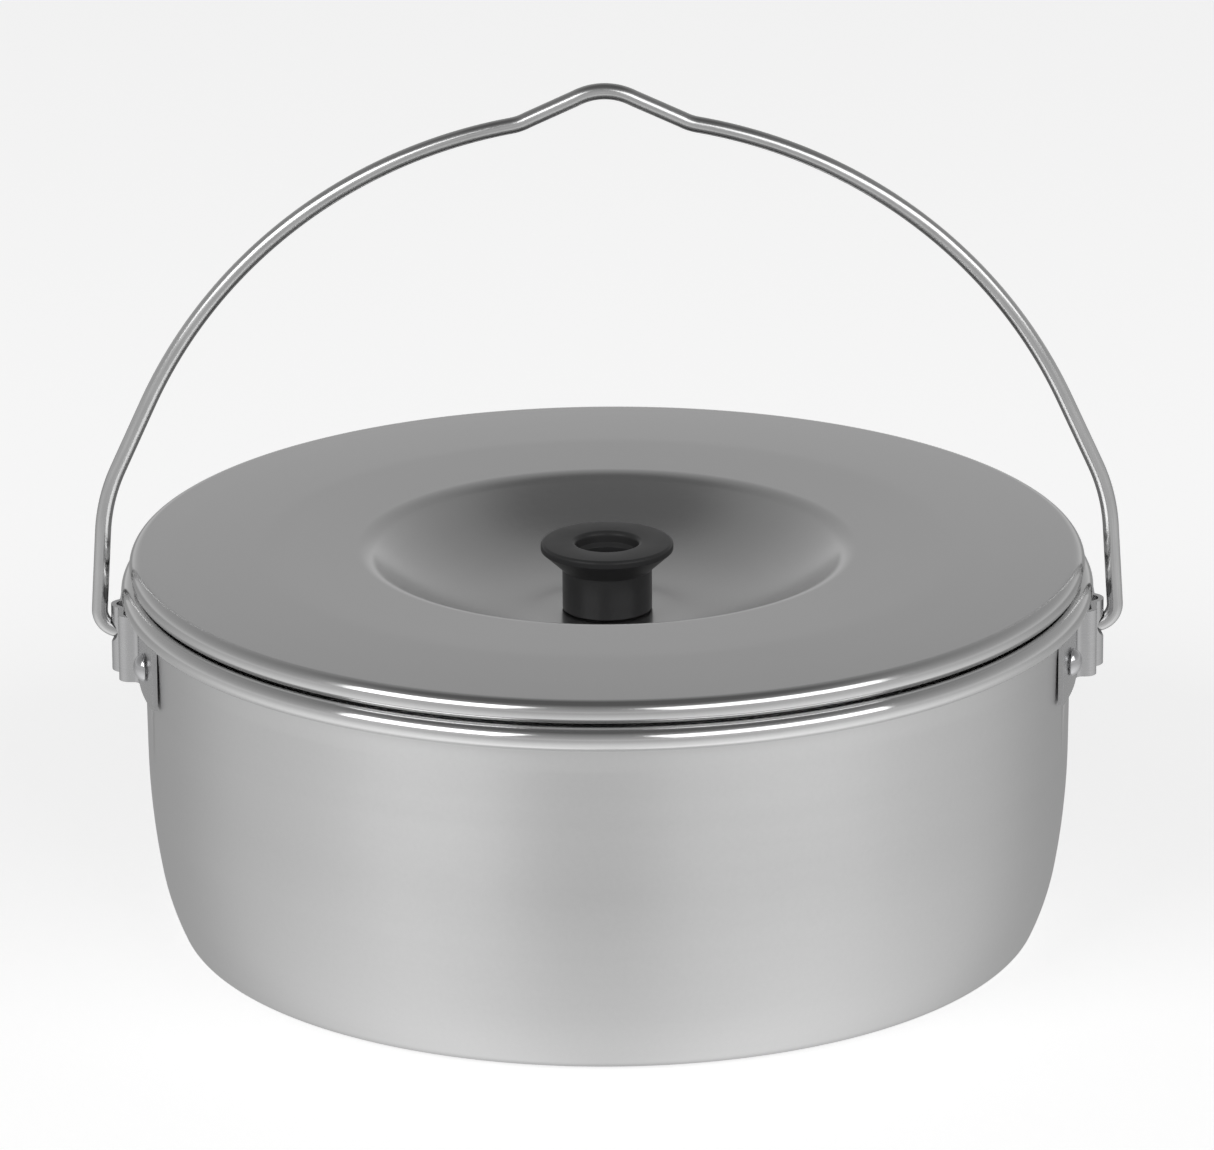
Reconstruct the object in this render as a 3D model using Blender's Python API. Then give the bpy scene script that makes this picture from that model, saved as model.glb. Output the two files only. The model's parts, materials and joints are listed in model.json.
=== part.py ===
"""A wide camp kettle: a spun aluminium pot with a rolled rim, a dished lid with a hollow
black knob, two riveted hat-section ears, and a wire bail that swings in the ears.

The frame: +Z is up, z = 0 is the underside of the pot, and the pot's axis is the Z axis.
The bail stands upright in the XZ plane and the ears are at +X and -X.
Lengths are named in millimetres, and millimetres() turns them into Blender's metres.
"""

import math

import bmesh
import bpy
from mathutils import Matrix, Vector

# Clearances
GAP = 0.3  # between pieces that touch on the real kettle

# Pot
POT_SHEET = 1.0
POT_TOP_RADIUS = 103.4  # outer wall just under the rim
POT_DRAFT = 0.77  # degrees that the upper wall leans in towards the base
BASE_RADIUS = 92.6  # flat underside
BASE_CORNER = 4.0  # tight radius at the edge of the base
LOWER_SWEEP = 57.0  # wall radius just above the base corner
UPPER_SWEEP = 167.0  # wall radius where it straightens out
LOWER_SWEEP_START = 24.3  # degrees from vertical where the base corner ends
UPPER_SWEEP_START = 10.1  # degrees from vertical where the lower sweep ends
BEAD_TUBE = 2.7  # outside radius of the rolled rim
BEAD_RADIUS = 108.3  # outermost radius of the rolled rim
BEAD_Z = 79.5
RIM_NECK_Z = 71.0  # the wall starts to flare out to the bead here
CURL_END = -115.0  # degrees round the bead where the curled sheet stops

# Lid
LID_SHEET = 1.0
LID_RADIUS = 106.5
LID_ROLL_TUBE = 2.7
LID_ROLL_Z = 85.1
LID_SKIRT_RADIUS = 101.2  # sheet centre of the skirt that centres the lid in the pot
LID_SKIRT_BOTTOM = 77.6
SKIRT_BEND = 1.2
RIDGE_RADIUS = 77.0  # highest ring of the shallow crown
RIDGE_RISE = 0.45
RIDGE_ROUND = 150.0
DISH_EDGE_RADIUS = 53.7
DISH_EDGE_DROP = 0.2  # below the ridge
DISH_SLOPE = 41.0  # degrees, where the bowl of the dish is steepest
DISH_EDGE_ROUND = 6.0
DISH_BOWL_ROUND = 53.0
DISH_FLOOR_Z = 73.3

# Knob and the screw that holds it
KNOB_TOP_Z = 89.0
KNOB_RADIUS = 14.8
KNOB_RIM_ROUND = 0.8
KNOB_RIM_LOW_Z = 87.3
KNOB_NECK_RADIUS = 10.0
KNOB_NECK_Z = 82.9
KNOB_MOUTH_RADIUS = 6.9
KNOB_MOUTH_ROUND = 1.1
KNOB_BORE_RADIUS = 6.1
KNOB_BORE_FLOOR_Z = 78.2
SCREW_RADIUS = 2.0
SCREW_HEAD_RADIUS = 3.9
SCREW_HEAD_HEIGHT = 2.6
SCREW_SLOT = (1.0, 1.1)  # width and depth
SCREW_TIP_Z = 66.6
WASHER_RADIUS = 4.5
WASHER_THICKNESS = 0.8
NUT_ACROSS_FLATS = 7.0
NUT_HEIGHT = 3.2

# Ears
EAR_SHEET = 1.2
EAR_BOTTOM_Z = 59.9
EAR_TOP_Z = 75.1
EAR_HALF_WIDTH = 10.0  # outside of the side panels
EAR_WEB_X = 108.9  # outer face of the web
EAR_RIB_X = 110.8  # crest of the round rib down the web's middle
EAR_RIB_ROUND = 3.4
EAR_RIB_FILLET = 0.9  # inside the sheet, beside the rib
EAR_CORNER_ROUND = 2.4
EAR_FLANGE_FILLET = 2.0
EAR_FLANGE_END = 29.4  # |y| of the flange's end
PIVOT_HOLE_RADIUS = 2.8

# Rivets
RIVET_Y = 21.5
RIVET_Z = 67.5
RIVET_HEAD_RADIUS = 3.2
RIVET_DOME = 2.2
RIVET_SHANK_RADIUS = 1.6
RIVET_TAIL_RADIUS = 3.0
RIVET_TAIL = 0.9

# Bail
WIRE_RADIUS = 1.8
PIVOT_Z = 69.0
BAIL_LEG_X = 113.3  # wire centre where the leg meets the lower bend
BAIL_END_X = 105.6
BAIL_FOOT_BEND = 4.6
BAIL_LEG_LEAN = 3.5  # degrees
BAIL_KNEE_BEND = 41.0
BAIL_KNEE_Z = 92.0
BAIL_KNEE_LEAN = 24.5
BAIL_ARC_RADIUS = 111.7
BAIL_SHOULDER_X = 20.5
BAIL_SHOULDER_BEND = 12.0
BAIL_PEAK_SLOPE = 28.5
BAIL_PEAK_BEND = 13.5
BAIL_PEAK_Z = 192.9

ROUND_STEPS = 48
SMALL_ROUND_STEPS = 24


def millimetres(*values):
    return Vector([value * 0.001 for value in values])


# Drawing helpers: outlines are lists of (across, up) pairs in millimetres.


def arc(centre, radius, start, end, steps):
    """Points round part of a circle, from one angle in degrees to another."""
    points = []
    for step in range(steps + 1):
        angle = math.radians(start + (end - start) * step / steps)
        points.append((centre[0] + radius * math.cos(angle), centre[1] + radius * math.sin(angle)))
    return points


def rounded(points, radii, steps):
    """The polyline with each inner corner replaced by an arc of its own radius."""
    result = [points[0]]
    for before, corner, after, radius in zip(points, points[1:], points[2:], radii):
        corner = Vector(corner)
        to_before = (Vector(before) - corner).normalized()
        to_after = (Vector(after) - corner).normalized()
        half = to_before.angle(to_after) / 2
        centre = corner + (to_before + to_after).normalized() * radius / math.sin(half)
        first = corner + to_before * radius / math.tan(half) - centre
        turn = first.angle_signed(corner + to_after * radius / math.tan(half) - centre)
        for step in range(steps + 1):
            spoke = first.copy()
            spoke.rotate(Matrix.Rotation(-turn * step / steps, 2))
            result.append(tuple(centre + spoke))
    result.append(points[-1])
    return result


def material(name, colour, metallic, roughness):
    made = bpy.data.materials.new(name)
    made.use_nodes = True
    shader = made.node_tree.nodes["Principled BSDF"]
    shader.inputs["Base Color"].default_value = (*colour, 1.0)
    shader.inputs["Metallic"].default_value = metallic
    shader.inputs["Roughness"].default_value = roughness
    made.diffuse_color = (*colour, 1.0)
    return made


def add_object(name, mesh, finish, hidden=False):
    made = bpy.data.objects.new(name, mesh)
    bpy.context.scene.collection.objects.link(made)
    if finish and not mesh.materials:
        mesh.materials.append(finish)
    if hidden:
        made.hide_render = True
        made.display_type = "WIRE"
    return made


def line_mesh(name, outline, closed=False):
    """A mesh of edges only, in the XZ plane."""
    mesh = bpy.data.meshes.new(name)
    count = len(outline)
    edges = [(index, index + 1) for index in range(count - 1)]
    if closed:
        edges.append((count - 1, 0))
    mesh.from_pydata([millimetres(across, 0, up) for across, up in outline], edges, [])
    return mesh


def spin(target, steps):
    """Turns the outline once round Z. The outline runs top to bottom down its outer side."""
    screw = target.modifiers.new("Turned", "SCREW")
    screw.axis = "Z"
    screw.steps = steps
    screw.render_steps = steps
    screw.use_merge_vertices = True
    screw.merge_threshold = 0.00001


def turned_solid(name, outline, finish, steps=SMALL_ROUND_STEPS, hidden=False):
    """A solid of revolution from a closed outline, or from one that starts and ends on Z."""
    on_axis = abs(outline[0][0]) < 1e-6 and abs(outline[-1][0]) < 1e-6
    made = add_object(name, line_mesh(name, outline, closed=not on_axis), finish, hidden)
    spin(made, steps)
    return made


def turned_sheet(name, centre_line, thickness, finish):
    """Sheet metal of one thickness, spun round Z from the line down the middle of the sheet."""
    made = add_object(name, line_mesh(name, centre_line), finish)
    spin(made, ROUND_STEPS)
    sheet = made.modifiers.new("Sheet", "SOLIDIFY")
    sheet.thickness = thickness * 0.001
    sheet.offset = 0.0
    sheet.use_even_offset = True
    return made


def cut(target, cutter):
    boolean = target.modifiers.new(cutter.name, "BOOLEAN")
    boolean.operation = "DIFFERENCE"
    boolean.solver = "EXACT"
    boolean.object = cutter


def drill(name, radius, start, end, sides=16):
    """A hidden round cutter between two points given in millimetres."""
    start = millimetres(*start)
    end = millimetres(*end)
    shape = bmesh.new()
    bmesh.ops.create_cone(
        shape,
        cap_ends=True,
        segments=sides,
        radius1=radius * 0.001,
        radius2=radius * 0.001,
        depth=(end - start).length,
    )
    mesh = bpy.data.meshes.new(name)
    shape.to_mesh(mesh)
    shape.free()
    cutter = add_object(name, mesh, None, hidden=True)
    cutter.rotation_mode = "QUATERNION"
    cutter.rotation_quaternion = (end - start).to_track_quat("Z", "Y")
    cutter.location = (start + end) / 2
    return cutter


def smooth(target, angle=35.0):
    bpy.context.view_layer.update()
    target.data.shade_smooth()
    if target.type == "MESH" and target.data.polygons:
        target.data.set_sharp_from_angle(angle=math.radians(angle))


# Pot


def sweep_up(point, radius, start, end, steps):
    """Carries a wall upward from a point, as its lean from vertical goes from start to end degrees."""
    lean = math.radians(start)
    centre = (point[0] - radius * math.cos(lean), point[1] + radius * math.sin(lean))
    return arc(centre, radius, -start, -end, steps)


def pot_centre_line():
    """From the curled end of the rim, over the bead, down the wall and in to the axis."""
    half = POT_SHEET / 2
    corner = sweep_up((BASE_RADIUS, half), BASE_CORNER - half, 90.0, LOWER_SWEEP_START, 3)
    lower = sweep_up(corner[-1], LOWER_SWEEP - half, LOWER_SWEEP_START, UPPER_SWEEP_START, 2)
    upper = sweep_up(lower[-1], UPPER_SWEEP - half, UPPER_SWEEP_START, POT_DRAFT, 2)
    wall_top = upper[-1]
    neck_radius = wall_top[0] + (RIM_NECK_Z - wall_top[1]) * math.tan(math.radians(POT_DRAFT))
    bead_centre = (BEAD_RADIUS - BEAD_TUBE, BEAD_Z)
    bead = arc(bead_centre, BEAD_TUBE - half, 180.0, CURL_END, 10)
    rising = [(0.0, half)] + corner + lower[1:] + upper[1:] + [(neck_radius, RIM_NECK_Z)] + bead
    return list(reversed(rising))


def wall_radius(z):
    """Outer radius of the upper wall at a height."""
    return POT_TOP_RADIUS - (RIM_NECK_Z - z) * math.tan(math.radians(POT_DRAFT))


# Lid


def lid_centre_line(hole_radius):
    """From the skirt's lower edge, round the rolled rim, across the crown and down the dish."""
    half = LID_SHEET / 2
    roll_centre = (LID_RADIUS - LID_ROLL_TUBE, LID_ROLL_Z)
    roll_radius = LID_ROLL_TUBE - half
    roll = arc(roll_centre, roll_radius, -90.0, 90.0, 7)
    under_z = LID_ROLL_Z - roll_radius
    top_z = LID_ROLL_Z + roll_radius
    skirt = rounded(
        [(LID_SKIRT_RADIUS, LID_SKIRT_BOTTOM), (LID_SKIRT_RADIUS, under_z), roll[0]],
        [SKIRT_BEND],
        2,
    )
    floor_z = DISH_FLOOR_Z - half
    edge_z = top_z + RIDGE_RISE - DISH_EDGE_DROP
    run = (edge_z - floor_z) / math.tan(math.radians(DISH_SLOPE))
    crown = rounded(
        [
            roll[-1],
            (RIDGE_RADIUS, top_z + RIDGE_RISE),
            (DISH_EDGE_RADIUS, edge_z),
            (DISH_EDGE_RADIUS - run, floor_z),
            (hole_radius, floor_z),
        ],
        [RIDGE_ROUND, DISH_EDGE_ROUND, DISH_BOWL_ROUND],
        4,
    )
    return skirt[:-1] + roll + crown[1:]


# Knob


def knob_outline(foot_z):
    """Closed outline of the spool-shaped knob, down the outside and back up the bore."""
    outline = [(KNOB_MOUTH_RADIUS + KNOB_MOUTH_ROUND, KNOB_TOP_Z)]
    rim_centre = (KNOB_RADIUS - KNOB_RIM_ROUND, KNOB_TOP_Z - KNOB_RIM_ROUND)
    outline += arc(rim_centre, KNOB_RIM_ROUND, 90.0, 0.0, 3)
    outline += rounded(
        [
            (KNOB_RADIUS, KNOB_RIM_LOW_Z),
            (KNOB_NECK_RADIUS, KNOB_NECK_Z),
            (KNOB_NECK_RADIUS, foot_z),
        ],
        [0.8],
        2,
    )
    clearance = SCREW_RADIUS + GAP
    outline += [(clearance, foot_z), (clearance, KNOB_BORE_FLOOR_Z)]
    outline += [(KNOB_BORE_RADIUS, KNOB_BORE_FLOOR_Z)]
    mouth_low = KNOB_TOP_Z - KNOB_MOUTH_ROUND
    outline += [(KNOB_BORE_RADIUS, mouth_low - 2.2), (KNOB_MOUTH_RADIUS, mouth_low - 1.4)]
    mouth_centre = (KNOB_MOUTH_RADIUS + KNOB_MOUTH_ROUND, mouth_low)
    return outline + arc(mouth_centre, KNOB_MOUTH_ROUND, 180.0, 90.0, 3)[:-1]


def screw_outline():
    """Half outline of the pan-head screw, from the top of its head down to its tip."""
    seat = KNOB_BORE_FLOOR_Z + GAP
    top = seat + SCREW_HEAD_HEIGHT
    head = arc((SCREW_HEAD_RADIUS - 1.6, top - 1.6), 1.6, 90.0, 0.0, 3)
    tip = [(SCREW_RADIUS, SCREW_TIP_Z + 0.6), (SCREW_RADIUS - 0.6, SCREW_TIP_Z)]
    shank = [(SCREW_HEAD_RADIUS, seat), (SCREW_RADIUS, seat)]
    return [(0.0, top)] + head + shank + tip + [(0.0, SCREW_TIP_Z)]


def ring_outline(inner, outer, low, high):
    return [(outer, high), (outer, low), (inner, low), (inner, high)]


def slot_cutter(top):
    width, depth = SCREW_SLOT
    shape = bmesh.new()
    bmesh.ops.create_cube(shape, size=0.001)
    bmesh.ops.scale(shape, vec=(3 * SCREW_HEAD_RADIUS, width, 2 * depth), verts=shape.verts)
    mesh = bpy.data.meshes.new("cut_screw_slot")
    shape.to_mesh(mesh)
    shape.free()
    cutter = add_object("cut_screw_slot", mesh, None, hidden=True)
    cutter.location = millimetres(0, 0, top)
    return cutter


def hex_nut(name, finish, low, high):
    """A hexagonal ring: six flats outside and a round clearance hole inside."""
    shape = bmesh.new()
    bmesh.ops.create_cone(
        shape,
        cap_ends=True,
        segments=6,
        radius1=NUT_ACROSS_FLATS * 0.0005 / math.cos(math.radians(30)),
        radius2=NUT_ACROSS_FLATS * 0.0005 / math.cos(math.radians(30)),
        depth=(high - low) * 0.001,
    )
    mesh = bpy.data.meshes.new(name)
    shape.to_mesh(mesh)
    shape.free()
    nut = add_object(name, mesh, finish)
    nut.location = millimetres(0, 0, (low + high) / 2)
    cut(nut, drill("cut_nut_thread", SCREW_RADIUS + GAP, (0, 0, low - 2), (0, 0, high + 2)))
    return nut


# Ears and rivets


def ear_plan():
    """Middle of the ear's sheet seen from above, at +X, from one flange round to the other."""
    half = EAR_SHEET / 2
    flange_radius = wall_radius(RIVET_Z) + GAP + half
    panel_y = EAR_HALF_WIDTH - half
    web_x = EAR_WEB_X - half
    rib_radius = EAR_RIB_ROUND - half
    rib_x = EAR_RIB_X - EAR_RIB_ROUND
    fillet = EAR_RIB_FILLET + half
    rib_angle = math.degrees(math.acos((web_x + fillet - rib_x) / (rib_radius + fillet)))
    fillet_y = (rib_radius + fillet) * math.sin(math.radians(rib_angle))
    corner = EAR_CORNER_ROUND - half
    foot_y = panel_y + EAR_FLANGE_FILLET
    foot_x = math.sqrt((flange_radius + EAR_FLANGE_FILLET) ** 2 - foot_y**2)
    foot_angle = math.degrees(math.atan2(foot_y, foot_x))
    end_angle = math.degrees(math.asin(EAR_FLANGE_END / flange_radius))
    upper = arc((rib_x, 0.0), rib_radius, 0.0, rib_angle, 4)
    upper += arc((web_x + fillet, fillet_y), fillet, 180.0 + rib_angle, 180.0, 2)[1:]
    upper += arc((web_x - corner, panel_y - corner), corner, 0.0, 90.0, 3)
    upper += arc((foot_x, foot_y), EAR_FLANGE_FILLET, 270.0, 180.0 + foot_angle, 3)
    upper += arc((0.0, 0.0), flange_radius, foot_angle, end_angle, 3)[1:]
    lower = [(x, -y) for x, y in reversed(upper[1:])]
    return lower + upper


def ear(name, side, finish):
    """The bent strip: the plan line pulled up into a wall, then given its thickness."""
    shape = bmesh.new()
    corners = [shape.verts.new(millimetres(side * x, y, EAR_BOTTOM_Z)) for x, y in ear_plan()]
    edges = [shape.edges.new(pair) for pair in zip(corners, corners[1:])]
    pulled = bmesh.ops.extrude_edge_only(shape, edges=edges)["geom"]
    raised = [item for item in pulled if isinstance(item, bmesh.types.BMVert)]
    bmesh.ops.translate(shape, vec=millimetres(0, 0, EAR_TOP_Z - EAR_BOTTOM_Z), verts=raised)
    bmesh.ops.recalc_face_normals(shape, faces=shape.faces)
    mesh = bpy.data.meshes.new(name)
    shape.to_mesh(mesh)
    shape.free()
    made = add_object(name, mesh, finish)
    sheet = made.modifiers.new("Sheet", "SOLIDIFY")
    sheet.thickness = EAR_SHEET * 0.001
    sheet.offset = 0.0
    sheet.use_even_offset = True
    hole = drill(
        "cut_pivot_" + name,
        PIVOT_HOLE_RADIUS,
        (side * (EAR_WEB_X - 3), 0, PIVOT_Z),
        (side * (EAR_RIB_X + 3), 0, PIVOT_Z),
    )
    cut(made, hole)
    return made


def rivet_mesh(finish):
    """One turned rivet along +Z: tail inside the pot, shank through both sheets, domed head."""
    tail_face = wall_radius(RIVET_Z) - POT_SHEET - GAP
    head_seat = wall_radius(RIVET_Z) + GAP + EAR_SHEET + GAP
    dome_radius = (RIVET_HEAD_RADIUS**2 + RIVET_DOME**2) / (2 * RIVET_DOME)
    dome_centre = (0.0, head_seat + RIVET_DOME - dome_radius)
    dome_start = math.degrees(math.asin((dome_radius - RIVET_DOME) / dome_radius))
    outline = arc(dome_centre, dome_radius, 90.0, dome_start, 4)
    outline += [(RIVET_SHANK_RADIUS, head_seat), (RIVET_SHANK_RADIUS, tail_face)]
    outline += [(RIVET_TAIL_RADIUS, tail_face), (RIVET_TAIL_RADIUS - 0.3, tail_face - RIVET_TAIL)]
    outline += [(0.0, tail_face - RIVET_TAIL)]
    mesh = line_mesh("rivet", outline)
    mesh.materials.append(finish)
    return mesh


# Bail


def bail_half():
    """Wire centre line of the +X half, from the wire's end in the ear up to the peak."""
    foot_turn = 90.0 + BAIL_LEG_LEAN
    foot_centre = (BAIL_LEG_X - BAIL_FOOT_BEND, PIVOT_Z + BAIL_FOOT_BEND)
    foot = arc(foot_centre, BAIL_FOOT_BEND, -90.0, foot_turn - 90.0, 6)
    lean = math.radians(BAIL_LEG_LEAN)
    knee_x = foot[-1][0] - (BAIL_KNEE_Z - foot[-1][1]) * math.tan(lean)
    knee_centre = (
        knee_x - BAIL_KNEE_BEND * math.cos(lean),
        BAIL_KNEE_Z - BAIL_KNEE_BEND * math.sin(lean),
    )
    knee = arc(knee_centre, BAIL_KNEE_BEND, BAIL_LEG_LEAN, BAIL_KNEE_LEAN, 5)
    # The long arc is tangent to a straight run that leaves the knee, and is centred on x = 0.
    direction = math.radians(BAIL_KNEE_LEAN)
    normal = Vector((math.cos(direction), math.sin(direction)))
    reach = Vector(knee[-1]).dot(normal)
    arc_z = (reach - BAIL_ARC_RADIUS) / math.sin(direction)
    shoulder = math.degrees(math.acos(BAIL_SHOULDER_X / BAIL_ARC_RADIUS))
    long_arc = arc((0.0, arc_z), BAIL_ARC_RADIUS, BAIL_KNEE_LEAN, shoulder, 18)
    # The shoulder bends the wire back up, and the peak rolls it over to level at x = 0.
    spoke = math.radians(shoulder)
    reversed_x = long_arc[-1][0] + BAIL_SHOULDER_BEND * math.cos(spoke)
    reversed_z = long_arc[-1][1] + BAIL_SHOULDER_BEND * math.sin(spoke)
    rise_angle = 90.0 - BAIL_PEAK_SLOPE
    turn = arc(
        (reversed_x, reversed_z),
        BAIL_SHOULDER_BEND,
        shoulder + 180.0,
        rise_angle + 180.0,
        3,
    )
    peak_centre = (0.0, BAIL_PEAK_Z - BAIL_PEAK_BEND)
    peak = arc(peak_centre, BAIL_PEAK_BEND, rise_angle, 90.0, 4)
    return [(BAIL_END_X, PIVOT_Z)] + foot + knee + long_arc + turn[1:] + peak


def wire(name, path, finish):
    """A round wire along a path in the XZ plane, with its origin on the pivot axis."""
    curve = bpy.data.curves.new(name, "CURVE")
    curve.dimensions = "3D"
    curve.bevel_depth = WIRE_RADIUS * 0.001
    curve.bevel_resolution = 2
    curve.use_fill_caps = True
    spline = curve.splines.new("POLY")
    spline.points.add(len(path) - 1)
    for point, (x, z) in zip(spline.points, path):
        point.co = (*millimetres(x, 0, z - PIVOT_Z), 1.0)
    curve.materials.append(finish)
    made = bpy.data.objects.new(name, curve)
    bpy.context.scene.collection.objects.link(made)
    made.location = millimetres(0, 0, PIVOT_Z)
    return made


def clear_scene():
    for item in list(bpy.data.objects):
        bpy.data.objects.remove(item, do_unlink=True)


def build_pot(aluminium):
    body = turned_sheet("pot_body", pot_centre_line(), POT_SHEET, aluminium)
    smooth(body)
    return body


def build_ears(pot, plate, bright):
    """Both ears and their four rivets, with the holes that the rivets pass through."""
    shared = rivet_mesh(bright)
    angle = math.asin(RIVET_Y / wall_radius(RIVET_Z))
    for side, side_name in ((-1, "left"), (1, "right")):
        bracket = ear("ear_bracket_" + side_name, side, plate)
        for along, along_name in ((-1, "front"), (1, "rear")):
            name = f"{side_name}_{along_name}"
            outward = Vector((side * math.cos(angle), along * math.sin(angle), 0.0))
            inner = outward * (wall_radius(RIVET_Z) - 5)
            outer = outward * (wall_radius(RIVET_Z) + 5)
            hole = drill(
                "cut_rivet_" + name,
                RIVET_SHANK_RADIUS + GAP,
                (inner.x, inner.y, RIVET_Z),
                (outer.x, outer.y, RIVET_Z),
                sides=12,
            )
            cut(pot, hole)
            cut(bracket, hole)
            rivet = bpy.data.objects.new("rivet_" + name, shared)
            bpy.context.scene.collection.objects.link(rivet)
            spin(rivet, 16)
            rivet.rotation_mode = "QUATERNION"
            rivet.rotation_quaternion = outward.to_track_quat("Z", "Y")
            rivet.location = millimetres(0, 0, RIVET_Z)


def build_lid(aluminium, phenolic, zinc):
    """The lid and everything that lifts off with it, parented to an empty on its axis."""
    lift = bpy.data.objects.new("lid_axis", None)
    bpy.context.scene.collection.objects.link(lift)
    hole = SCREW_RADIUS + GAP
    plate = turned_sheet("lid_plate", lid_centre_line(hole), LID_SHEET, aluminium)
    smooth(plate)
    knob = turned_solid("lid_knob", knob_outline(DISH_FLOOR_Z + GAP), phenolic)
    screw = turned_solid("knob_screw", screw_outline(), zinc)
    cut(screw, slot_cutter(KNOB_BORE_FLOOR_Z + GAP + SCREW_HEAD_HEIGHT))
    washer_top = DISH_FLOOR_Z - LID_SHEET - GAP
    washer_low = washer_top - WASHER_THICKNESS
    washer = turned_solid(
        "knob_washer", ring_outline(hole, WASHER_RADIUS, washer_low, washer_top), zinc
    )
    nut_top = washer_low - GAP
    nut = hex_nut("knob_nut", zinc, nut_top - NUT_HEIGHT, nut_top)
    for piece in (plate, knob, screw, washer, nut):
        piece.parent = lift


def build_bail(steel):
    half = bail_half()
    path = half + [(-x, z) for x, z in reversed(half[:-1])]
    wire("bail_handle", path, steel)


def main():
    clear_scene()
    aluminium = material("satin_aluminium", (0.62, 0.62, 0.63), 1.0, 0.38)
    plate = material("ear_aluminium", (0.55, 0.55, 0.56), 1.0, 0.42)
    steel = material("bail_steel", (0.56, 0.56, 0.57), 1.0, 0.25)
    bright = material("rivet_aluminium", (0.72, 0.72, 0.73), 1.0, 0.22)
    zinc = material("zinc_steel", (0.60, 0.61, 0.63), 1.0, 0.3)
    phenolic = material("black_phenolic", (0.02, 0.02, 0.021), 0.0, 0.45)
    pot = build_pot(aluminium)
    build_ears(pot, plate, bright)
    build_lid(aluminium, phenolic, zinc)
    build_bail(steel)


main()
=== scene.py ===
# %% [markdown]
# # A camp kettle, part by part
#
# This file builds the looks of a wide aluminium camp kettle around a frame that is already
# packed: the frame says where each part is and how it moves, and this file makes each part's
# fine surface and finish. It is written to be read from top to bottom, in small cells.
#
# The kettle is a spun pot with a rolled rim, a pressed lid with a dish and a black knob, two
# bent ears, four rivets and a wire bail. Outlines are drawn in millimetres, and `metres` turns
# them into Blender's metres at the last moment.

# %% Load the frame
import json
import math

import bmesh
import bpy
from mathutils import Matrix, Vector


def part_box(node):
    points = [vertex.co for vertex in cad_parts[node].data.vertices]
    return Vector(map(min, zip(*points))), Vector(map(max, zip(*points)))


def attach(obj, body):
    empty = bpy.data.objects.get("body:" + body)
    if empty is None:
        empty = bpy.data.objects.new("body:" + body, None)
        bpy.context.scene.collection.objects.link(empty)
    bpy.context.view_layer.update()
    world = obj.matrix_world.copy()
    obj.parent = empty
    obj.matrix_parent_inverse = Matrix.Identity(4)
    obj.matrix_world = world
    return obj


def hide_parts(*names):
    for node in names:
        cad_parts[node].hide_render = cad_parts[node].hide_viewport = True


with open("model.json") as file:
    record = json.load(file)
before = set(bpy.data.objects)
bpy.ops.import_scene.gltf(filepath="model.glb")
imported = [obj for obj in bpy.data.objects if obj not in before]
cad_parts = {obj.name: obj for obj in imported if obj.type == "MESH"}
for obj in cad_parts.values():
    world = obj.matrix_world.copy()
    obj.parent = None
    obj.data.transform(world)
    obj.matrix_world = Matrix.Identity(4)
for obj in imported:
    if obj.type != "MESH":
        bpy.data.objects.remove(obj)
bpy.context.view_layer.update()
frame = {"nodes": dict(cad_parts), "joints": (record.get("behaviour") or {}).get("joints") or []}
print("nodes:", len(frame["nodes"]))

# %% [markdown]
# ## Sizes that the frame already knows
#
# A size that the frame holds is read from the frame, never typed again. `box_mm` gives the
# corners of one part in millimetres, and the driving sizes of the fine surfaces come from
# those corners. What a box can't say, such as how thick the sheet is, is a named value.

# %% Driving sizes
def box_mm(node):
    """Lowest and highest corner of a part of the frame, in millimetres."""
    low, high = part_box(node)
    return low * 1000, high * 1000


def metres(*values):
    return Vector([value * 0.001 for value in values])


pot_high = box_mm("pot_body")[1]
lid_low, lid_high = box_mm("lid_plate")
knob_low, knob_high = box_mm("lid_knob")
screw_low, screw_high = box_mm("knob_screw")
wire_high = box_mm("bail_handle")[1]
ear_low, ear_high = box_mm("ear_bracket_right")
swing = next(joint for joint in frame["joints"] if joint["name"] == "bail_swing")
pivot_z = 1000 * swing["pos_m"][2]

SHEET = 1.0
TUBE = 2.7
bead_centre = (pot_high.x - TUBE, pot_high.z - TUBE)
print("rim bead centre in mm:", [round(value, 2) for value in bead_centre])
print("lid radius", round(lid_high.x, 2), "knob top", round(knob_high.z, 2), "pivot", pivot_z)

# %% [markdown]
# ## The camera
#
# The kettle is seen from a little above, through a very long lens, so that its sides hardly
# converge and the rim's ellipses stay flat. The camera leans over by a third of a degree, as a
# camera on a tripod that was levelled by eye does.

# %% Camera
LOOK_DOWN = math.radians(18.41)
LEAN = 0.0060
CAMERA_DISTANCE = 2.124
LENS = 282.4
aim = Vector((-0.00004, 0.0, 0.0804))
AIM_RAISED = 0.00064

back = Vector((0.0, -math.cos(LOOK_DOWN), math.sin(LOOK_DOWN)))
level_up = Vector((0.0, math.sin(LOOK_DOWN), math.cos(LOOK_DOWN)))
level_right = Vector((1.0, 0.0, 0.0))
right = level_right * math.cos(LEAN) - level_up * math.sin(LEAN)
up = level_right * math.sin(LEAN) + level_up * math.cos(LEAN)

camera_data = bpy.data.cameras.new("camera")
camera_data.lens = LENS
camera_data.sensor_width = 36.0
camera_data.clip_start = 0.05
camera_data.clip_end = 50.0
camera = bpy.data.objects.new("camera", camera_data)
bpy.context.scene.collection.objects.link(camera)
turned_to = Matrix((right, up, back)).transposed().to_4x4()
standing_at = aim + level_up * AIM_RAISED + back * CAMERA_DISTANCE
camera.matrix_world = Matrix.Translation(standing_at) @ turned_to
bpy.context.scene.camera = camera
print("camera stands at", [round(value, 3) for value in standing_at])

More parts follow.
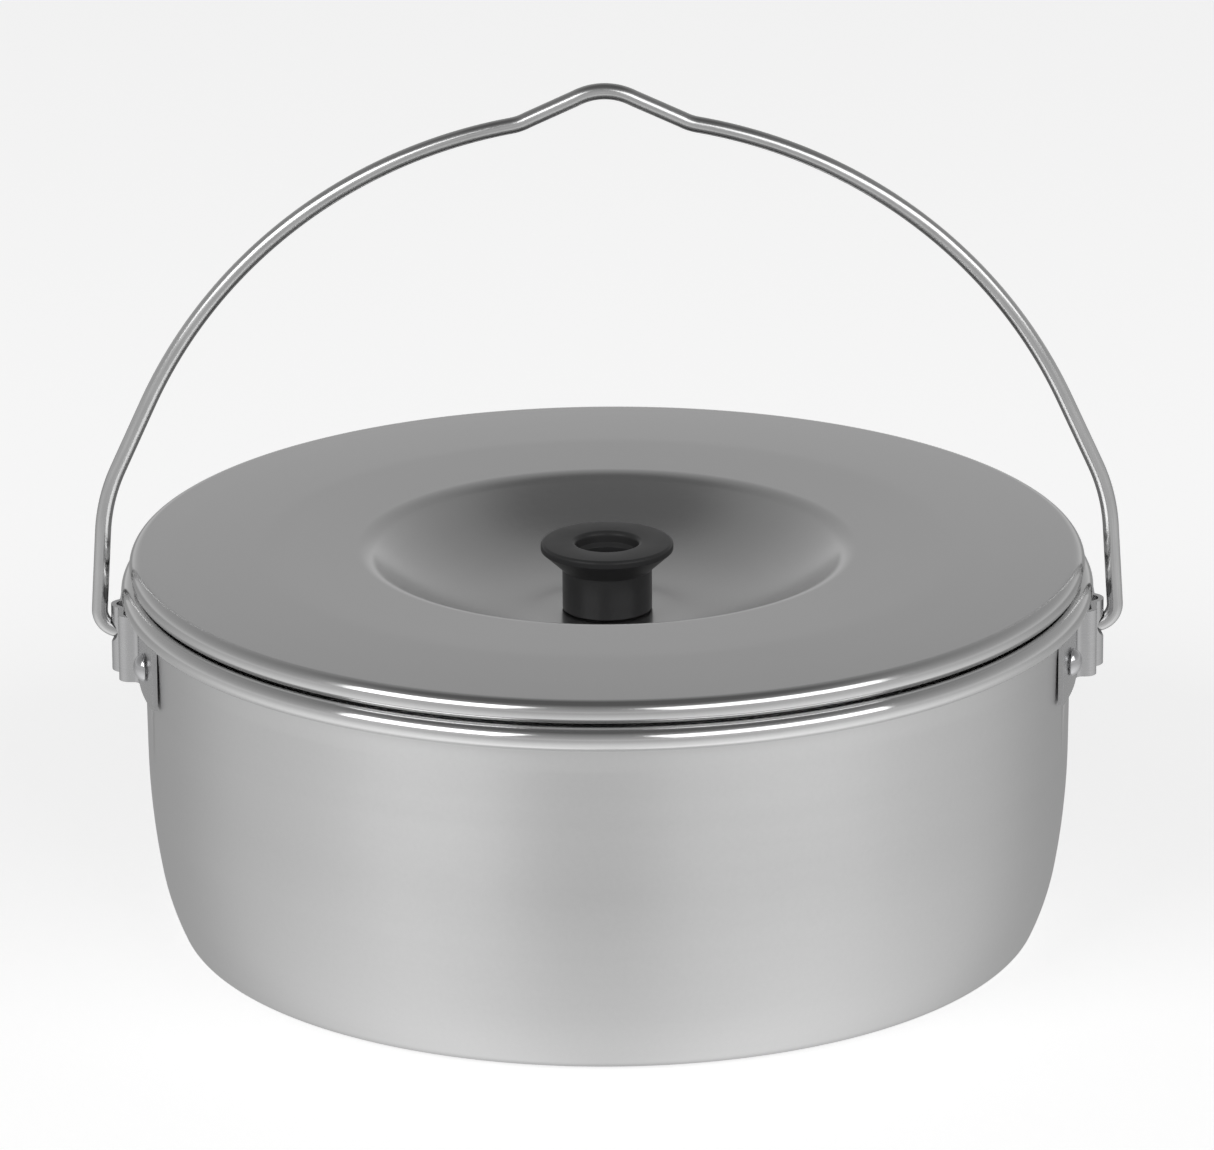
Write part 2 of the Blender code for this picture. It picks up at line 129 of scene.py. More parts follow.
# %% [markdown]
# ## Drawing outlines
#
# Every round part starts as a flat outline, just as a spinner's template does. Straight lines
# and true arcs are enough for all of them: `arc` walks round part of a circle, and `rounded`
# puts a tangent arc into each corner of a polyline.

# %% Outline helpers
def arc(centre, radius, start, end, steps):
    """Points round part of a circle, from one angle in degrees to another."""
    angles = [math.radians(start + (end - start) * step / steps) for step in range(steps + 1)]
    return [(centre[0] + radius * math.cos(a), centre[1] + radius * math.sin(a)) for a in angles]


def rounded(points, radii, steps):
    """The polyline with each inner corner replaced by a tangent arc of its own radius."""
    result = [points[0]]
    for before, corner, after, radius in zip(points, points[1:], points[2:], radii):
        corner = Vector(corner)
        to_before = (Vector(before) - corner).normalized()
        to_after = (Vector(after) - corner).normalized()
        half = to_before.angle(to_after) / 2
        centre = corner + (to_before + to_after).normalized() * radius / math.sin(half)
        first = corner + to_before * radius / math.tan(half) - centre
        sweep = first.angle_signed(corner + to_after * radius / math.tan(half) - centre)
        for step in range(steps + 1):
            spoke = first.copy()
            spoke.rotate(Matrix.Rotation(-sweep * step / steps, 2))
            result.append(tuple(centre + spoke))
    result.append(points[-1])
    return result


print("quarter circle:", [tuple(round(v, 2) for v in p) for p in arc((0, 0), 1, 0, 90, 2)])

# %% [markdown]
# ## From a line to sheet metal
#
# Pot, lid and ears are all bent or spun from sheet of even thickness. So each is drawn once,
# as the line down the middle of its sheet, and `sheet_outline` steps half a thickness to both
# sides of that line. A free edge gets a half-round end, as a deburred edge has: an edge with
# no radius at all would never catch the light.

# %% Sheet helper
def sheet_offsets(line):
    """At each point of a line, the way to its left that keeps a sheet even round the bends."""
    steps = [(b - a).normalized() for a, b in zip(line, line[1:])]
    sides = [Vector((-step.y, step.x)) for step in steps]
    offsets = [sides[0]]
    for before, after in zip(sides, sides[1:]):
        middle = (before + after).normalized()
        offsets.append(middle / max(middle.dot(before), 0.5))
    return offsets + [sides[-1]]


def half_round(centre, side, radius):
    """The points between the two corners of a sheet's end, which make the end half-round."""
    start = math.degrees(math.atan2(side.y, side.x))
    return arc(centre, radius, start, start - 180.0, 6)[1:-1]


def sheet_outline(line, thickness, round_first=True):
    """A closed outline round a line of sheet. The last end is half-round, and the first can be."""
    half = thickness / 2
    line = [Vector(point) for point in line]
    line = [line[0]] + [b for a, b in zip(line, line[1:]) if (b - a).length > 1e-4]
    offsets = sheet_offsets(line)
    left = [tuple(point + offset * half) for point, offset in zip(line, offsets)]
    right = [tuple(point - offset * half) for point, offset in zip(line, offsets)]
    closing = half_round(line[0], -offsets[0], half) if round_first else []
    return left + half_round(line[-1], offsets[-1], half) + right[::-1] + closing


print("points round a strip:", len(sheet_outline([(0, 0), (10, 0)], SHEET)))

# %% [markdown]
# ## From points to a finished mesh
#
# Nearly every piece is laid ring by ring: `bridged` makes the faces between each ring of
# `finished` then turns all faces outwards and shades the piece smooth,
# except along edges that are really sharp. Rings laid one by one keep every face where it is
# wanted, which a modifier that guesses at the shape does not.

# %% Mesh helpers
def bridged(shape, rings):
    """Makes the faces between each ring and the next. A ring may be one point, repeated."""
    for first, second in zip(rings, rings[1:]):
        for step in range(len(first)):
            after = (step + 1) % len(first)
            corners = [first[step], first[after], second[after], second[step]]
            corners = list(dict.fromkeys(corners))
            if len(corners) > 2:
                shape.faces.new(corners)


def finished(name, shape, sharp_angle=40.0):
    """Stores a bmesh as an object, smooth except along edges sharper than the angle."""
    bmesh.ops.recalc_face_normals(shape, faces=shape.faces)
    mesh = bpy.data.meshes.new(name)
    shape.to_mesh(mesh)
    shape.free()
    mesh.shade_smooth()
    mesh.set_sharp_from_angle(angle=math.radians(sharp_angle))
    made = bpy.data.objects.new(name, mesh)
    bpy.context.scene.collection.objects.link(made)
    print(name, "has", len(mesh.polygons), "faces")
    return made


# %% [markdown]
# ## Turning an outline
#
# A spun part is made on a lathe, and so is its model: the outline is carried once round the
# Z axis. A point on the axis is one vertex, and every ring closes on itself. 256 steps keep
# the silhouette round in a close look.

# %% Turning helper
TURN_STEPS = 256


def turned(name, outline, steps=TURN_STEPS, sharp_angle=40.0):
    """A solid of revolution round Z from a closed outline of (radius, height)."""
    shape = bmesh.new()
    rings = []
    for radius, height in outline:
        if radius < 1e-6:
            rings.append([shape.verts.new(metres(0, 0, height))] * steps)
            continue
        round_z = arc((0.0, 0.0), radius, 0.0, 360.0, steps)[:-1]
        rings.append([shape.verts.new(metres(x, y, height)) for x, y in round_z])
    bridged(shape, rings + rings[:1])
    return finished(name, shape, sharp_angle)


print("one step of a turn in degrees:", round(360 / TURN_STEPS, 2))

# %% [markdown]
# ## The pot
#
# The real pot is pressed from one disc and trued on a lathe. A tight corner leaves the flat
# base, two long sweeps carry the wall up, and above them the wall leans by less than a degree.
# At the top the sheet flares out and rolls over into an open curl, the rim bead, which
# stiffens the thin wall and gives the lid a round seat. Each sweep of the wall is given as its
# radius, its lean from upright where it starts and where it ends, and its number of steps.

# %% Pot body
BASE_RADIUS = 92.6
WALL_SWEEPS = ((4.0, 90.0, 24.3, 12), (57.0, 24.3, 10.1, 10), (167.0, 10.1, 0.77, 12))
NECK_Z = 71.0
NECK_ROUND = 24.0
BEAD_FILLET = 2.5
BEAD_JOIN = 8
CURL_END = -115.0


def sweep_up(point, radius, start, end, steps):
    """Carries a wall up from a point while its lean from vertical goes from start to end."""
    lean = math.radians(start)
    centre = (point[0] - radius * math.cos(lean), point[1] + radius * math.sin(lean))
    return arc(centre, radius, -start, -end, steps)


wall = [(BASE_RADIUS, SHEET / 2)]
for sweep_radius, lean_start, lean_end, sweep_steps in WALL_SWEEPS:
    wall += sweep_up(wall[-1], sweep_radius - SHEET / 2, lean_start, lean_end, sweep_steps)[1:]
draft = math.tan(math.radians(WALL_SWEEPS[-1][2]))
neck = (wall[-1][0] + (NECK_Z - wall[-1][1]) * draft, NECK_Z)
bead = arc(bead_centre, TUBE - SHEET / 2, 180.0, CURL_END, 40)
flare_corners = [wall[-1], neck, bead[0], bead[BEAD_JOIN]]
flare = rounded(flare_corners, [NECK_ROUND, BEAD_FILLET], 6)[1:-1]
base = [(radius, SHEET / 2) for radius in (0.0, 30.0, 60.0, 80.0)]
pot_line = base + wall + flare + bead[BEAD_JOIN:]
pot = turned("kettle_pot", sheet_outline(pot_line, SHEET, round_first=False))
print("pot outline points:", len(pot_line), "wall radius at the neck:", round(neck[0], 2))

# %% [markdown]
# ## The lid
#
# The lid is one pressing. Its outer edge is rolled under like the pot's, and a short skirt
# drops inside the pot to centre it. The top is almost flat, with a very faint crown, and then
# falls into a wide bowl, steep at its edge and easing to a flat floor, so that the knob stands
# in a hollow and another pan can be stacked on top.

# %% Lid plate
LID_HOLE = 2.3
SKIRT_RADIUS = 101.2
SKIRT_ROUND = 1.2
ROLL_Z = 85.1
ROLL_SAG = 0.3
CROWN_RADIUS = 77.0
CROWN_RISE = 0.45
CROWN_ROUND = 150.0
DISH_EDGE = 53.7
DISH_EDGE_DROP = 0.2
DISH_EDGE_ROUND = 6.0
DISH_SLOPE = 41.0
DISH_BOWL = 53.0
DISH_FLOOR = 73.3

roll_centre = (lid_high.x - TUBE, ROLL_Z)
roll = arc(roll_centre, TUBE - SHEET / 2, -90.0, 90.0, 24)
roll = [(r, z - ROLL_SAG * max(0.0, (roll_centre[1] - z) / TUBE)) for r, z in roll]
skirt_end = (SKIRT_RADIUS, lid_low.z + SHEET / 2)
skirt = rounded([skirt_end, (SKIRT_RADIUS, roll[0][1]), roll[0]], [SKIRT_ROUND], 6)
edge_z = roll[-1][1] + CROWN_RISE - DISH_EDGE_DROP
floor_z = DISH_FLOOR - SHEET / 2
dish_corner = DISH_EDGE - (edge_z - floor_z) / math.tan(math.radians(DISH_SLOPE))
crown = rounded(
    [
        roll[-1],
        (CROWN_RADIUS, roll[-1][1] + CROWN_RISE),
        (DISH_EDGE, edge_z),
        (dish_corner, floor_z),
        (LID_HOLE, floor_z),
    ],
    [CROWN_ROUND, DISH_EDGE_ROUND, DISH_BOWL],
    24,
)
lid_line = skirt[:-1] + roll + crown[1:]
lid = turned("kettle_lid", sheet_outline(lid_line, SHEET))
print("dish depth in mm:", round(edge_z + SHEET / 2 - DISH_FLOOR, 1))

# %% [markdown]
# ## The knob
#
# The knob is moulded in black phenolic, which stays cool enough to hold over a fire. It is a
# hollow spool: a wide flange to lift by, a cone under it for the fingertips, and a bore down
# the middle that hides the head of its screw. A mould always leaves small radii, and the rim
# of the flange and the lip of the bore are where they show.

# %% Knob
FLANGE_LOW = 87.3
FLANGE_ROUND = 0.8
NECK_RADIUS = 10.0
NECK_TOP = 82.9
MOUTH_RADIUS = 6.9
MOUTH_ROUND = 1.1
MOUTH_DEPTH = 1.4
MOUTH_TAPER = 0.8
BORE_RADIUS = 6.1
BORE_FLOOR = 78.2

rim_centre = (knob_high.x - FLANGE_ROUND, knob_high.z - FLANGE_ROUND)
knob_outline = arc(rim_centre, FLANGE_ROUND, 90.0, 0.0, 8)
knob_outline += rounded(
    [
        (knob_high.x, rim_centre[1] - 0.1),
        (knob_high.x, FLANGE_LOW),
        (NECK_RADIUS, NECK_TOP),
        (NECK_RADIUS, knob_low.z + 0.2),
        (NECK_RADIUS - 0.2, knob_low.z),
        (LID_HOLE, knob_low.z),
    ],
    [0.3, 0.5, 0.1, 0.1],
    5,
)
knob_outline += [(LID_HOLE, BORE_FLOOR)]
mouth_low = knob_high.z - MOUTH_ROUND
knob_outline += rounded(
    [
        (BORE_RADIUS, BORE_FLOOR),
        (BORE_RADIUS, mouth_low - MOUTH_DEPTH - MOUTH_TAPER),
        (MOUTH_RADIUS, mouth_low - MOUTH_DEPTH),
        (MOUTH_RADIUS, mouth_low - 0.2),
    ],
    [0.3, 0.2],
    4,
)
knob_outline += arc((MOUTH_RADIUS + MOUTH_ROUND, mouth_low), MOUTH_ROUND, 180.0, 90.0, 8)
knob = turned("kettle_knob", knob_outline, steps=160, sharp_angle=50.0)
print("knob height in mm:", round(knob_high.z - knob_low.z, 1))

# %% [markdown]
# ## Screw, washer and nut
#
# A pan-head screw goes down the bore, and a washer and a nut hold it under the lid. They are
# standard zinc-plated hardware. The shank carries a real helix of thread below the lid, cut as
# a shallow wave on each ring of vertices, so that it stays one closed surface.

# %% Screw
HEAD_RADIUS = 3.9
HEAD_HEIGHT = 2.6
HEAD_ROUND = 1.6
UNDER_ROUND = 0.2
SHANK_RADIUS = 2.0
TIP = 0.6
THREAD_TOP = 76.0
THREAD_PITCH = 0.7
THREAD_DEPTH = 0.22
THREAD_RINGS = 60

seat_z = screw_high.z - HEAD_HEIGHT
head = arc((HEAD_RADIUS - HEAD_ROUND, screw_high.z - HEAD_ROUND), HEAD_ROUND, 90.0, 0.0, 10)
head += arc((HEAD_RADIUS - UNDER_ROUND, seat_z + UNDER_ROUND), UNDER_ROUND, 0.0, -90.0, 3)
ring_drop = (THREAD_TOP - screw_low.z - TIP) / THREAD_RINGS
shank = [(SHANK_RADIUS, seat_z)]
shank += [(SHANK_RADIUS, THREAD_TOP - ring_drop * ring) for ring in range(THREAD_RINGS + 1)]
tip = [(SHANK_RADIUS - TIP, screw_low.z), (0.0, screw_low.z)]
screw = turned("fine_knob_screw", [(0.0, screw_high.z)] + head + shank + tip, steps=48)
for vertex in screw.data.vertices:
    x, y, z = (1000 * value for value in vertex.co)
    radius = math.hypot(x, y)
    if abs(radius - SHANK_RADIUS) < 0.01 and z < THREAD_TOP:
        turn = math.atan2(y, x) / (2 * math.pi) - z / THREAD_PITCH
        run_in = min(1.0, (THREAD_TOP - z) / THREAD_PITCH)
        cut_in = THREAD_DEPTH * abs(2 * (turn % 1.0) - 1.0) * run_in
        vertex.co.x *= 1 - cut_in / radius
        vertex.co.y *= 1 - cut_in / radius
print("screw length in mm:", round(screw_high.z - screw_low.z, 1))

# %% [markdown]
# ## Cutting and softening
#
# Holes and slots are cut as a workshop cuts them, after the piece has its shape: a Boolean
# modifier takes a hidden cutter away from it. A Bevel modifier after the cuts then rounds the
# edges a little, because a real edge is never quite sharp.

# %% Cutters and softened edges
SHARP_OVER = 35.0


def bar(start, end, radius, sides):
    """A bmesh of a straight bar between two points in millimetres."""
    start, end = metres(*start), metres(*end)
    turn = (end - start).to_track_quat("Z", "Y").to_matrix().to_4x4()
    shape = bmesh.new()
    bmesh.ops.create_cone(
        shape,
        cap_ends=True,
        segments=sides,
        radius1=radius * 0.001,
        radius2=radius * 0.001,
        depth=(end - start).length,
        matrix=Matrix.Translation((start + end) / 2) @ turn,
    )
    return shape


def hidden(name, shape):
    """A cutter: it shapes other pieces and never shows."""
    cutter = finished(name, shape)
    cutter.hide_render = True
    cutter.hide_viewport = True
    return cutter


def drill(name, start, end, radius):
    """A hidden round cutter, for a hole from one point to the other."""
    return hidden(name, bar(start, end, radius, 48))


def cut(target, cutter):
    """Takes the cutter's shape away from the target."""
    boolean = target.modifiers.new(cutter.name, "BOOLEAN")
    boolean.operation = "DIFFERENCE"
    boolean.solver = "EXACT"
    boolean.object = cutter


def soften(target, width, segments=3):
    """Rounds the edges that turn by more than `SHARP_OVER`, by a width in millimetres."""
    bevel = target.modifiers.new("Softened edges", "BEVEL")
    bevel.width = width * 0.001
    bevel.segments = segments
    bevel.limit_method = "ANGLE"
    bevel.angle_limit = math.radians(SHARP_OVER)
    bevel.use_clamp_overlap = True
    bevel.harden_normals = True


print("edges that turn by more than", SHARP_OVER, "degrees get softened")

# %% [markdown]
# The screw is driven by a plain slot across its head. A slot is one straight pass of a slitting
# saw, so a flat block cuts it here.

# %% Slot in the screw's head
SLOT_WIDTH = 1.0
SLOT_DEPTH = 1.1
slot_size = metres(10.0, SLOT_WIDTH, 2 * SLOT_DEPTH)
slot_shape = bmesh.new()
bmesh.ops.create_cube(slot_shape, size=1.0)
bmesh.ops.scale(slot_shape, vec=slot_size, verts=slot_shape.verts)
bmesh.ops.translate(slot_shape, vec=metres(0, 0, screw_high.z), verts=slot_shape.verts)
cut(screw, hidden("screw_slot", slot_shape))
soften(screw, 0.08, 2)
print("slot", SLOT_WIDTH, "mm wide and", SLOT_DEPTH, "mm deep")

# %% [markdown]
# The washer is stamped, so only its outer edges are rounded. The nut is a slice of hexagonal
# bar, drilled and then bevelled, which gives it the chamfer that a turned nut has.

# %% Washer and nut
NUT_ACROSS = 7.0
washer_low, washer_high = box_mm("knob_washer")
nut_low, nut_high = box_mm("knob_nut")
washer_outline = rounded(
    [
        (4.0, washer_high.z),
        (washer_high.x, washer_high.z),
        (washer_high.x, washer_low.z),
        (LID_HOLE, washer_low.z),
        (LID_HOLE, washer_high.z),
    ],
    [0.15, 0.15, 0.1],
    3,
)
washer = turned("fine_knob_washer", washer_outline, steps=64)
corner_radius = NUT_ACROSS / 2 / math.cos(math.radians(30))
nut = finished("fine_knob_nut", bar((0, 0, nut_low.z), (0, 0, nut_high.z), corner_radius, 6))
cut(nut, drill("nut_hole", (0, 0, nut_low.z - 2), (0, 0, nut_high.z + 2), LID_HOLE))
soften(nut, 0.22)
print("washer", round(washer_high.x, 1), "nut height", round(nut_high.z - nut_low.z, 1))

# %% [markdown]
# ## The ears
#
# Each ear is a strip of thicker sheet bent to a hat section: two flanges lie on the pot wall,
# two panels stand out from it, and a web joins them in front. A round rib is pressed into the
# middle of the web, and the bail passes through a hole in that rib. The plan line is drawn
# from above, and then the closed outline is pulled straight up, as a press brake leaves it.

# %% Ears
EAR_SHEET = 1.2
EAR_HALF_WIDTH = 10.0
EAR_CORNER = 2.4
EAR_GAP = 0.3
RIB_ROUND = 3.4
RIB_FILLET = 1.5
FLANGE_FILLET = 2.0
WEB_BACK_FROM_RIB = 1.9
PIVOT_HOLE = 2.8
RIVET_Y = 21.5
RIVET_Z = 67.5
RIVET_HOLE = 1.9
wall_at_rivet = neck[0] + SHEET / 2 - (NECK_Z - RIVET_Z) * draft


def ear_plan():
    """Middle of the ear's sheet seen from above, at +X, from one flange round to the other."""
    half = EAR_SHEET / 2
    flange = wall_at_rivet + EAR_GAP + half
    panel_y = EAR_HALF_WIDTH - half
    web_x = ear_high.x - WEB_BACK_FROM_RIB - half
    rib_radius = RIB_ROUND - half
    rib_x = ear_high.x - RIB_ROUND
    rib_angle = math.degrees(math.acos((web_x + RIB_FILLET - rib_x) / (rib_radius + RIB_FILLET)))
    fillet_y = (rib_radius + RIB_FILLET) * math.sin(math.radians(rib_angle))
    corner = EAR_CORNER - half
    foot_y = panel_y + FLANGE_FILLET
    foot_x = math.sqrt((flange + FLANGE_FILLET) ** 2 - foot_y**2)
    foot_angle = math.degrees(math.atan2(foot_y, foot_x))
    end_angle = math.degrees(math.asin(ear_high.y / flange))
    upper = arc((rib_x, 0.0), rib_radius, 0.0, rib_angle, 10)
    upper += arc((web_x + RIB_FILLET, fillet_y), RIB_FILLET, 180.0 + rib_angle, 180.0, 6)[1:]
    upper += arc((web_x - corner, panel_y - corner), corner, 0.0, 90.0, 8)
    upper += arc((foot_x, foot_y), FLANGE_FILLET, 270.0, 180.0 + foot_angle, 8)
    upper += arc((0.0, 0.0), flange, foot_angle, end_angle, 10)[1:]
    return [(x, -y) for x, y in reversed(upper[1:])] + upper


def bent_ear(name, side):
    """One ear: the outline of its sheet from above, pulled straight up."""
    line = [Vector(point) for point in ear_plan()]
    low, high = ear_low.z, ear_high.z
    shape = bmesh.new()
    rows = []
    for point, offset in zip(line, sheet_offsets(line)):
        row = []
        for shift, z in ((-0.5, low), (0.5, low), (0.5, high), (-0.5, high)):
            place = point + offset * EAR_SHEET * shift
            row.append(shape.verts.new(metres(side * place.x, place.y, z)))
        rows.append(row)
    bridged(shape, rows)
    shape.faces.new(rows[0])
    shape.faces.new(rows[-1])
    return finished(name, shape, 50.0)


def rivet_way(side, along):
    """The way straight out of the pot wall at a rivet."""
    return Vector((side * math.cos(rivet_angle), along * math.sin(rivet_angle), 0.0))


rivet_angle = math.asin(RIVET_Y / wall_at_rivet)
rivet_level = Vector((0.0, 0.0, RIVET_Z))
ears = {}
for side, side_name in ((-1, "left"), (1, "right")):
    ear = bent_ear("ear_" + side_name, side)
    pivot_start = (side * (ear_high.x - 5), 0, pivot_z)
    pivot_end = (side * (ear_high.x + 5), 0, pivot_z)
    cut(ear, drill("pivot_" + side_name, pivot_start, pivot_end, PIVOT_HOLE))
    for along in (-1, 1):
        way = rivet_way(side, along)
        start = rivet_level + way * (wall_at_rivet - 5)
        end = rivet_level + way * (wall_at_rivet + 5)
        rivet_hole = drill(f"rivet_hole_{side_name}_{along + 1}", start, end, RIVET_HOLE)
        cut(ear, rivet_hole)
        cut(pot, rivet_hole)
    soften(ear, 0.22)
    ears[side_name] = ear
print("ear from", round(ear_low.z, 1), "to", round(ear_high.z, 1), "mm above the ground")

# %% [markdown]
# ## The rivets
#
# Four solid aluminium rivets hold the ears. Each is one turned piece: a low tail inside the
# pot, a shank through both sheets and a domed head outside. The rivet is drawn along +Z and
# then stood on the wall, pointing straight out from the pot's axis.

# %% Rivets
HEAD_SPAN = 3.2
DOME = 2.2
RIM_EDGE = 0.25
RIVET_SHANK = 1.6
TAIL_RADIUS = 3.0
TAIL_HEIGHT = 0.9

tail_face = wall_at_rivet - SHEET - EAR_GAP
head_face = wall_at_rivet + EAR_GAP + EAR_SHEET + EAR_GAP
dome_radius = (HEAD_SPAN**2 + (DOME - RIM_EDGE) ** 2) / (2 * (DOME - RIM_EDGE))
dome_start = math.degrees(math.acos(HEAD_SPAN / dome_radius))
rivet_outline = arc((0.0, head_face + DOME - dome_radius), dome_radius, 90.0, dome_start, 16)
rivet_outline[0] = (0.0, head_face + DOME)
rivet_outline += [(HEAD_SPAN, head_face + 0.1), (HEAD_SPAN - 0.1, head_face)]
rivet_outline += [(RIVET_SHANK, head_face), (RIVET_SHANK, tail_face)]
rivet_outline += rounded(
    [
        (TAIL_RADIUS - 0.1, tail_face),
        (TAIL_RADIUS, tail_face - 0.1),
        (TAIL_RADIUS - 0.3, tail_face - TAIL_HEIGHT),
        (0.0, tail_face - TAIL_HEIGHT),
    ],
    [0.1, 0.3],
    5,
)
rivets = {}
for side, side_name in ((-1, "left"), (1, "right")):
    for along, along_name in ((-1, "front"), (1, "rear")):
        rivet = turned(f"solid_rivet_{side_name}_{along_name}", rivet_outline, steps=64)
        stand = rivet_way(side, along).to_track_quat("Z", "Y").to_matrix().to_4x4()
        rivet.data.transform(Matrix.Translation(metres(0, 0, RIVET_Z)) @ stand)
        rivets[f"rivet_{side_name}_{along_name}"] = rivet
print("rivets:", sorted(rivets), "dome radius", round(dome_radius, 2))

# %% [markdown]
# ## The bail
#
# The bail is one length of drawn steel wire. Its ends turn in through the ears, its legs rise
# almost straight, a long arc spans the pot, and at the crown the wire kinks up to a small peak
# so that a hook always finds the middle. The centre line is drawn once for the +X half, and
# the other half is its mirror.

# %% Bail centre line
WIRE = 1.8
WIRE_END_X = 105.6
LEG_X = 113.3
FOOT_BEND = 4.6
LEG_LEAN = 3.5
KNEE_BEND = 41.0
KNEE_Z = 92.0
KNEE_LEAN = 24.5
ARC_RADIUS = 111.7
SHOULDER_X = 20.5
SHOULDER_BEND = 12.0
PEAK_SLOPE = 28.5
PEAK_BEND = 13.5

foot = arc((LEG_X - FOOT_BEND, pivot_z + FOOT_BEND), FOOT_BEND, -90.0, LEG_LEAN, 16)
lean = math.radians(LEG_LEAN)
knee_x = foot[-1][0] - (KNEE_Z - foot[-1][1]) * math.tan(lean)
knee_centre = (knee_x - KNEE_BEND * math.cos(lean), KNEE_Z - KNEE_BEND * math.sin(lean))
knee = arc(knee_centre, KNEE_BEND, LEG_LEAN, KNEE_LEAN, 12)
direction = math.radians(KNEE_LEAN)
reach = knee[-1][0] * math.cos(direction) + knee[-1][1] * math.sin(direction)
arc_centre = (0.0, (reach - ARC_RADIUS) / math.sin(direction))
shoulder = math.degrees(math.acos(SHOULDER_X / ARC_RADIUS))
long_arc = arc(arc_centre, ARC_RADIUS, KNEE_LEAN, shoulder, 48)
spoke = math.radians(shoulder)
shoulder_centre = (
    long_arc[-1][0] + SHOULDER_BEND * math.cos(spoke),
    long_arc[-1][1] + SHOULDER_BEND * math.sin(spoke),
)
rise = 90.0 - PEAK_SLOPE
turn_up = arc(shoulder_centre, SHOULDER_BEND, shoulder + 180.0, rise + 180.0, 8)
peak = arc((0.0, wire_high.z - WIRE - PEAK_BEND), PEAK_BEND, rise, 90.0, 10)
bail_half = [(WIRE_END_X, pivot_z)] + foot + knee + long_arc + turn_up[1:] + peak
bail_path = bail_half + [(-x, z) for x, z in reversed(bail_half[:-1])]
print("bail points:", len(bail_path), "crown at", round(max(z for x, z in bail_path), 1))

# %% [markdown]
# The wire is swept along that line ring by ring, so that each vertex can remember how far
# along the wire it is and on which side. The finish uses that to draw its die lines along the
# wire, whichever way the wire bends.

# %% Bail wire
WIRE_SIDES = 28
END_ROUND = 0.5
END_SHRINK = 0.72


def swept_wire(name, path, radius):
    """A round wire along a path in the XZ plane, with its ends slightly rounded over."""
    points = [Vector((x, 0.0, z)) for x, z in path]
    points = [points[0]] + [b for a, b in zip(points, points[1:]) if (b - a).length > 1e-3]
    points.insert(1, points[0] + (points[1] - points[0]).normalized() * END_ROUND)
    points.insert(-1, points[-1] + (points[-2] - points[-1]).normalized() * END_ROUND)
    across = Vector((0.0, 1.0, 0.0))
    shape = bmesh.new()
    way = shape.verts.layers.float_vector.new("along_wire")
    rings = []
    length = 0.0
    for index, point in enumerate(points):
        before = points[max(index - 1, 0)]
        after = points[min(index + 1, len(points) - 1)]
        length += (point - before).length
        outward = (after - before).normalized().cross(across)
        shrink = END_SHRINK if index in (0, len(points) - 1) else 1.0
        ring = []
        for side in range(WIRE_SIDES):
            angle = 2 * math.pi * side / WIRE_SIDES
            spoke = outward * math.cos(angle) + across * math.sin(angle)
            vertex = shape.verts.new((point + spoke * radius * shrink) * 0.001)
            vertex[way] = (math.cos(angle), math.sin(angle), length)
            ring.append(vertex)
        rings.append(ring)
    bridged(shape, rings)
    shape.faces.new(rings[0])
    shape.faces.new(rings[-1])
    print("wire length in mm:", round(length))
    return finished(name, shape)


bail = swept_wire("kettle_bail", bail_path, WIRE)

# %% [markdown]
# ## Finishes, and how their nodes are laid out
#
# Each finish below is a node tree, written out node by node: first the nodes with a label that
# says what each does, then their settings, then the links. The nodes are grouped in frames by
# effect. `lay_out` gives each frame its own row in the node editor, in the order of the flow.
# Nearly all of a noise lies between `NOISE_LOW` and `NOISE_HIGH`, so each finish stretches
# that span over its own tones and roughness.

# %% Node layout
NODE_STEP = 220
ROW_STEP = 420
NOISE_LOW = 0.3
NOISE_HIGH = 0.7


def lay_out(*effects):
    """Puts each effect's nodes in its frame, one row to an effect."""
    for row, (effect, held) in enumerate(effects):
        effect.location = (0, -ROW_STEP * row)
        for column, node in enumerate(held):
            node.parent = effect
            node.location = (NODE_STEP * column, 0)


print("node editor grid:", NODE_STEP, "by", ROW_STEP)

# %% [markdown]
# ## Spun aluminium
#
# A spinner's tool leaves very fine rings round the axis, and a caustic wash then dulls them to
# satin. Two things follow for the finish. The rings are drawn from the distance to the axis
# and from the height, so they close on themselves everywhere. And the gloss is anisotropic:
# across the rings the surface is rougher than along them, which draws each highlight out
# across the grain. A slow mottle in tone and roughness keeps the metal from looking printed.

# %% Spun aluminium material
RIM_FROM = 0.1037
RIM_BLEND = 0.0008


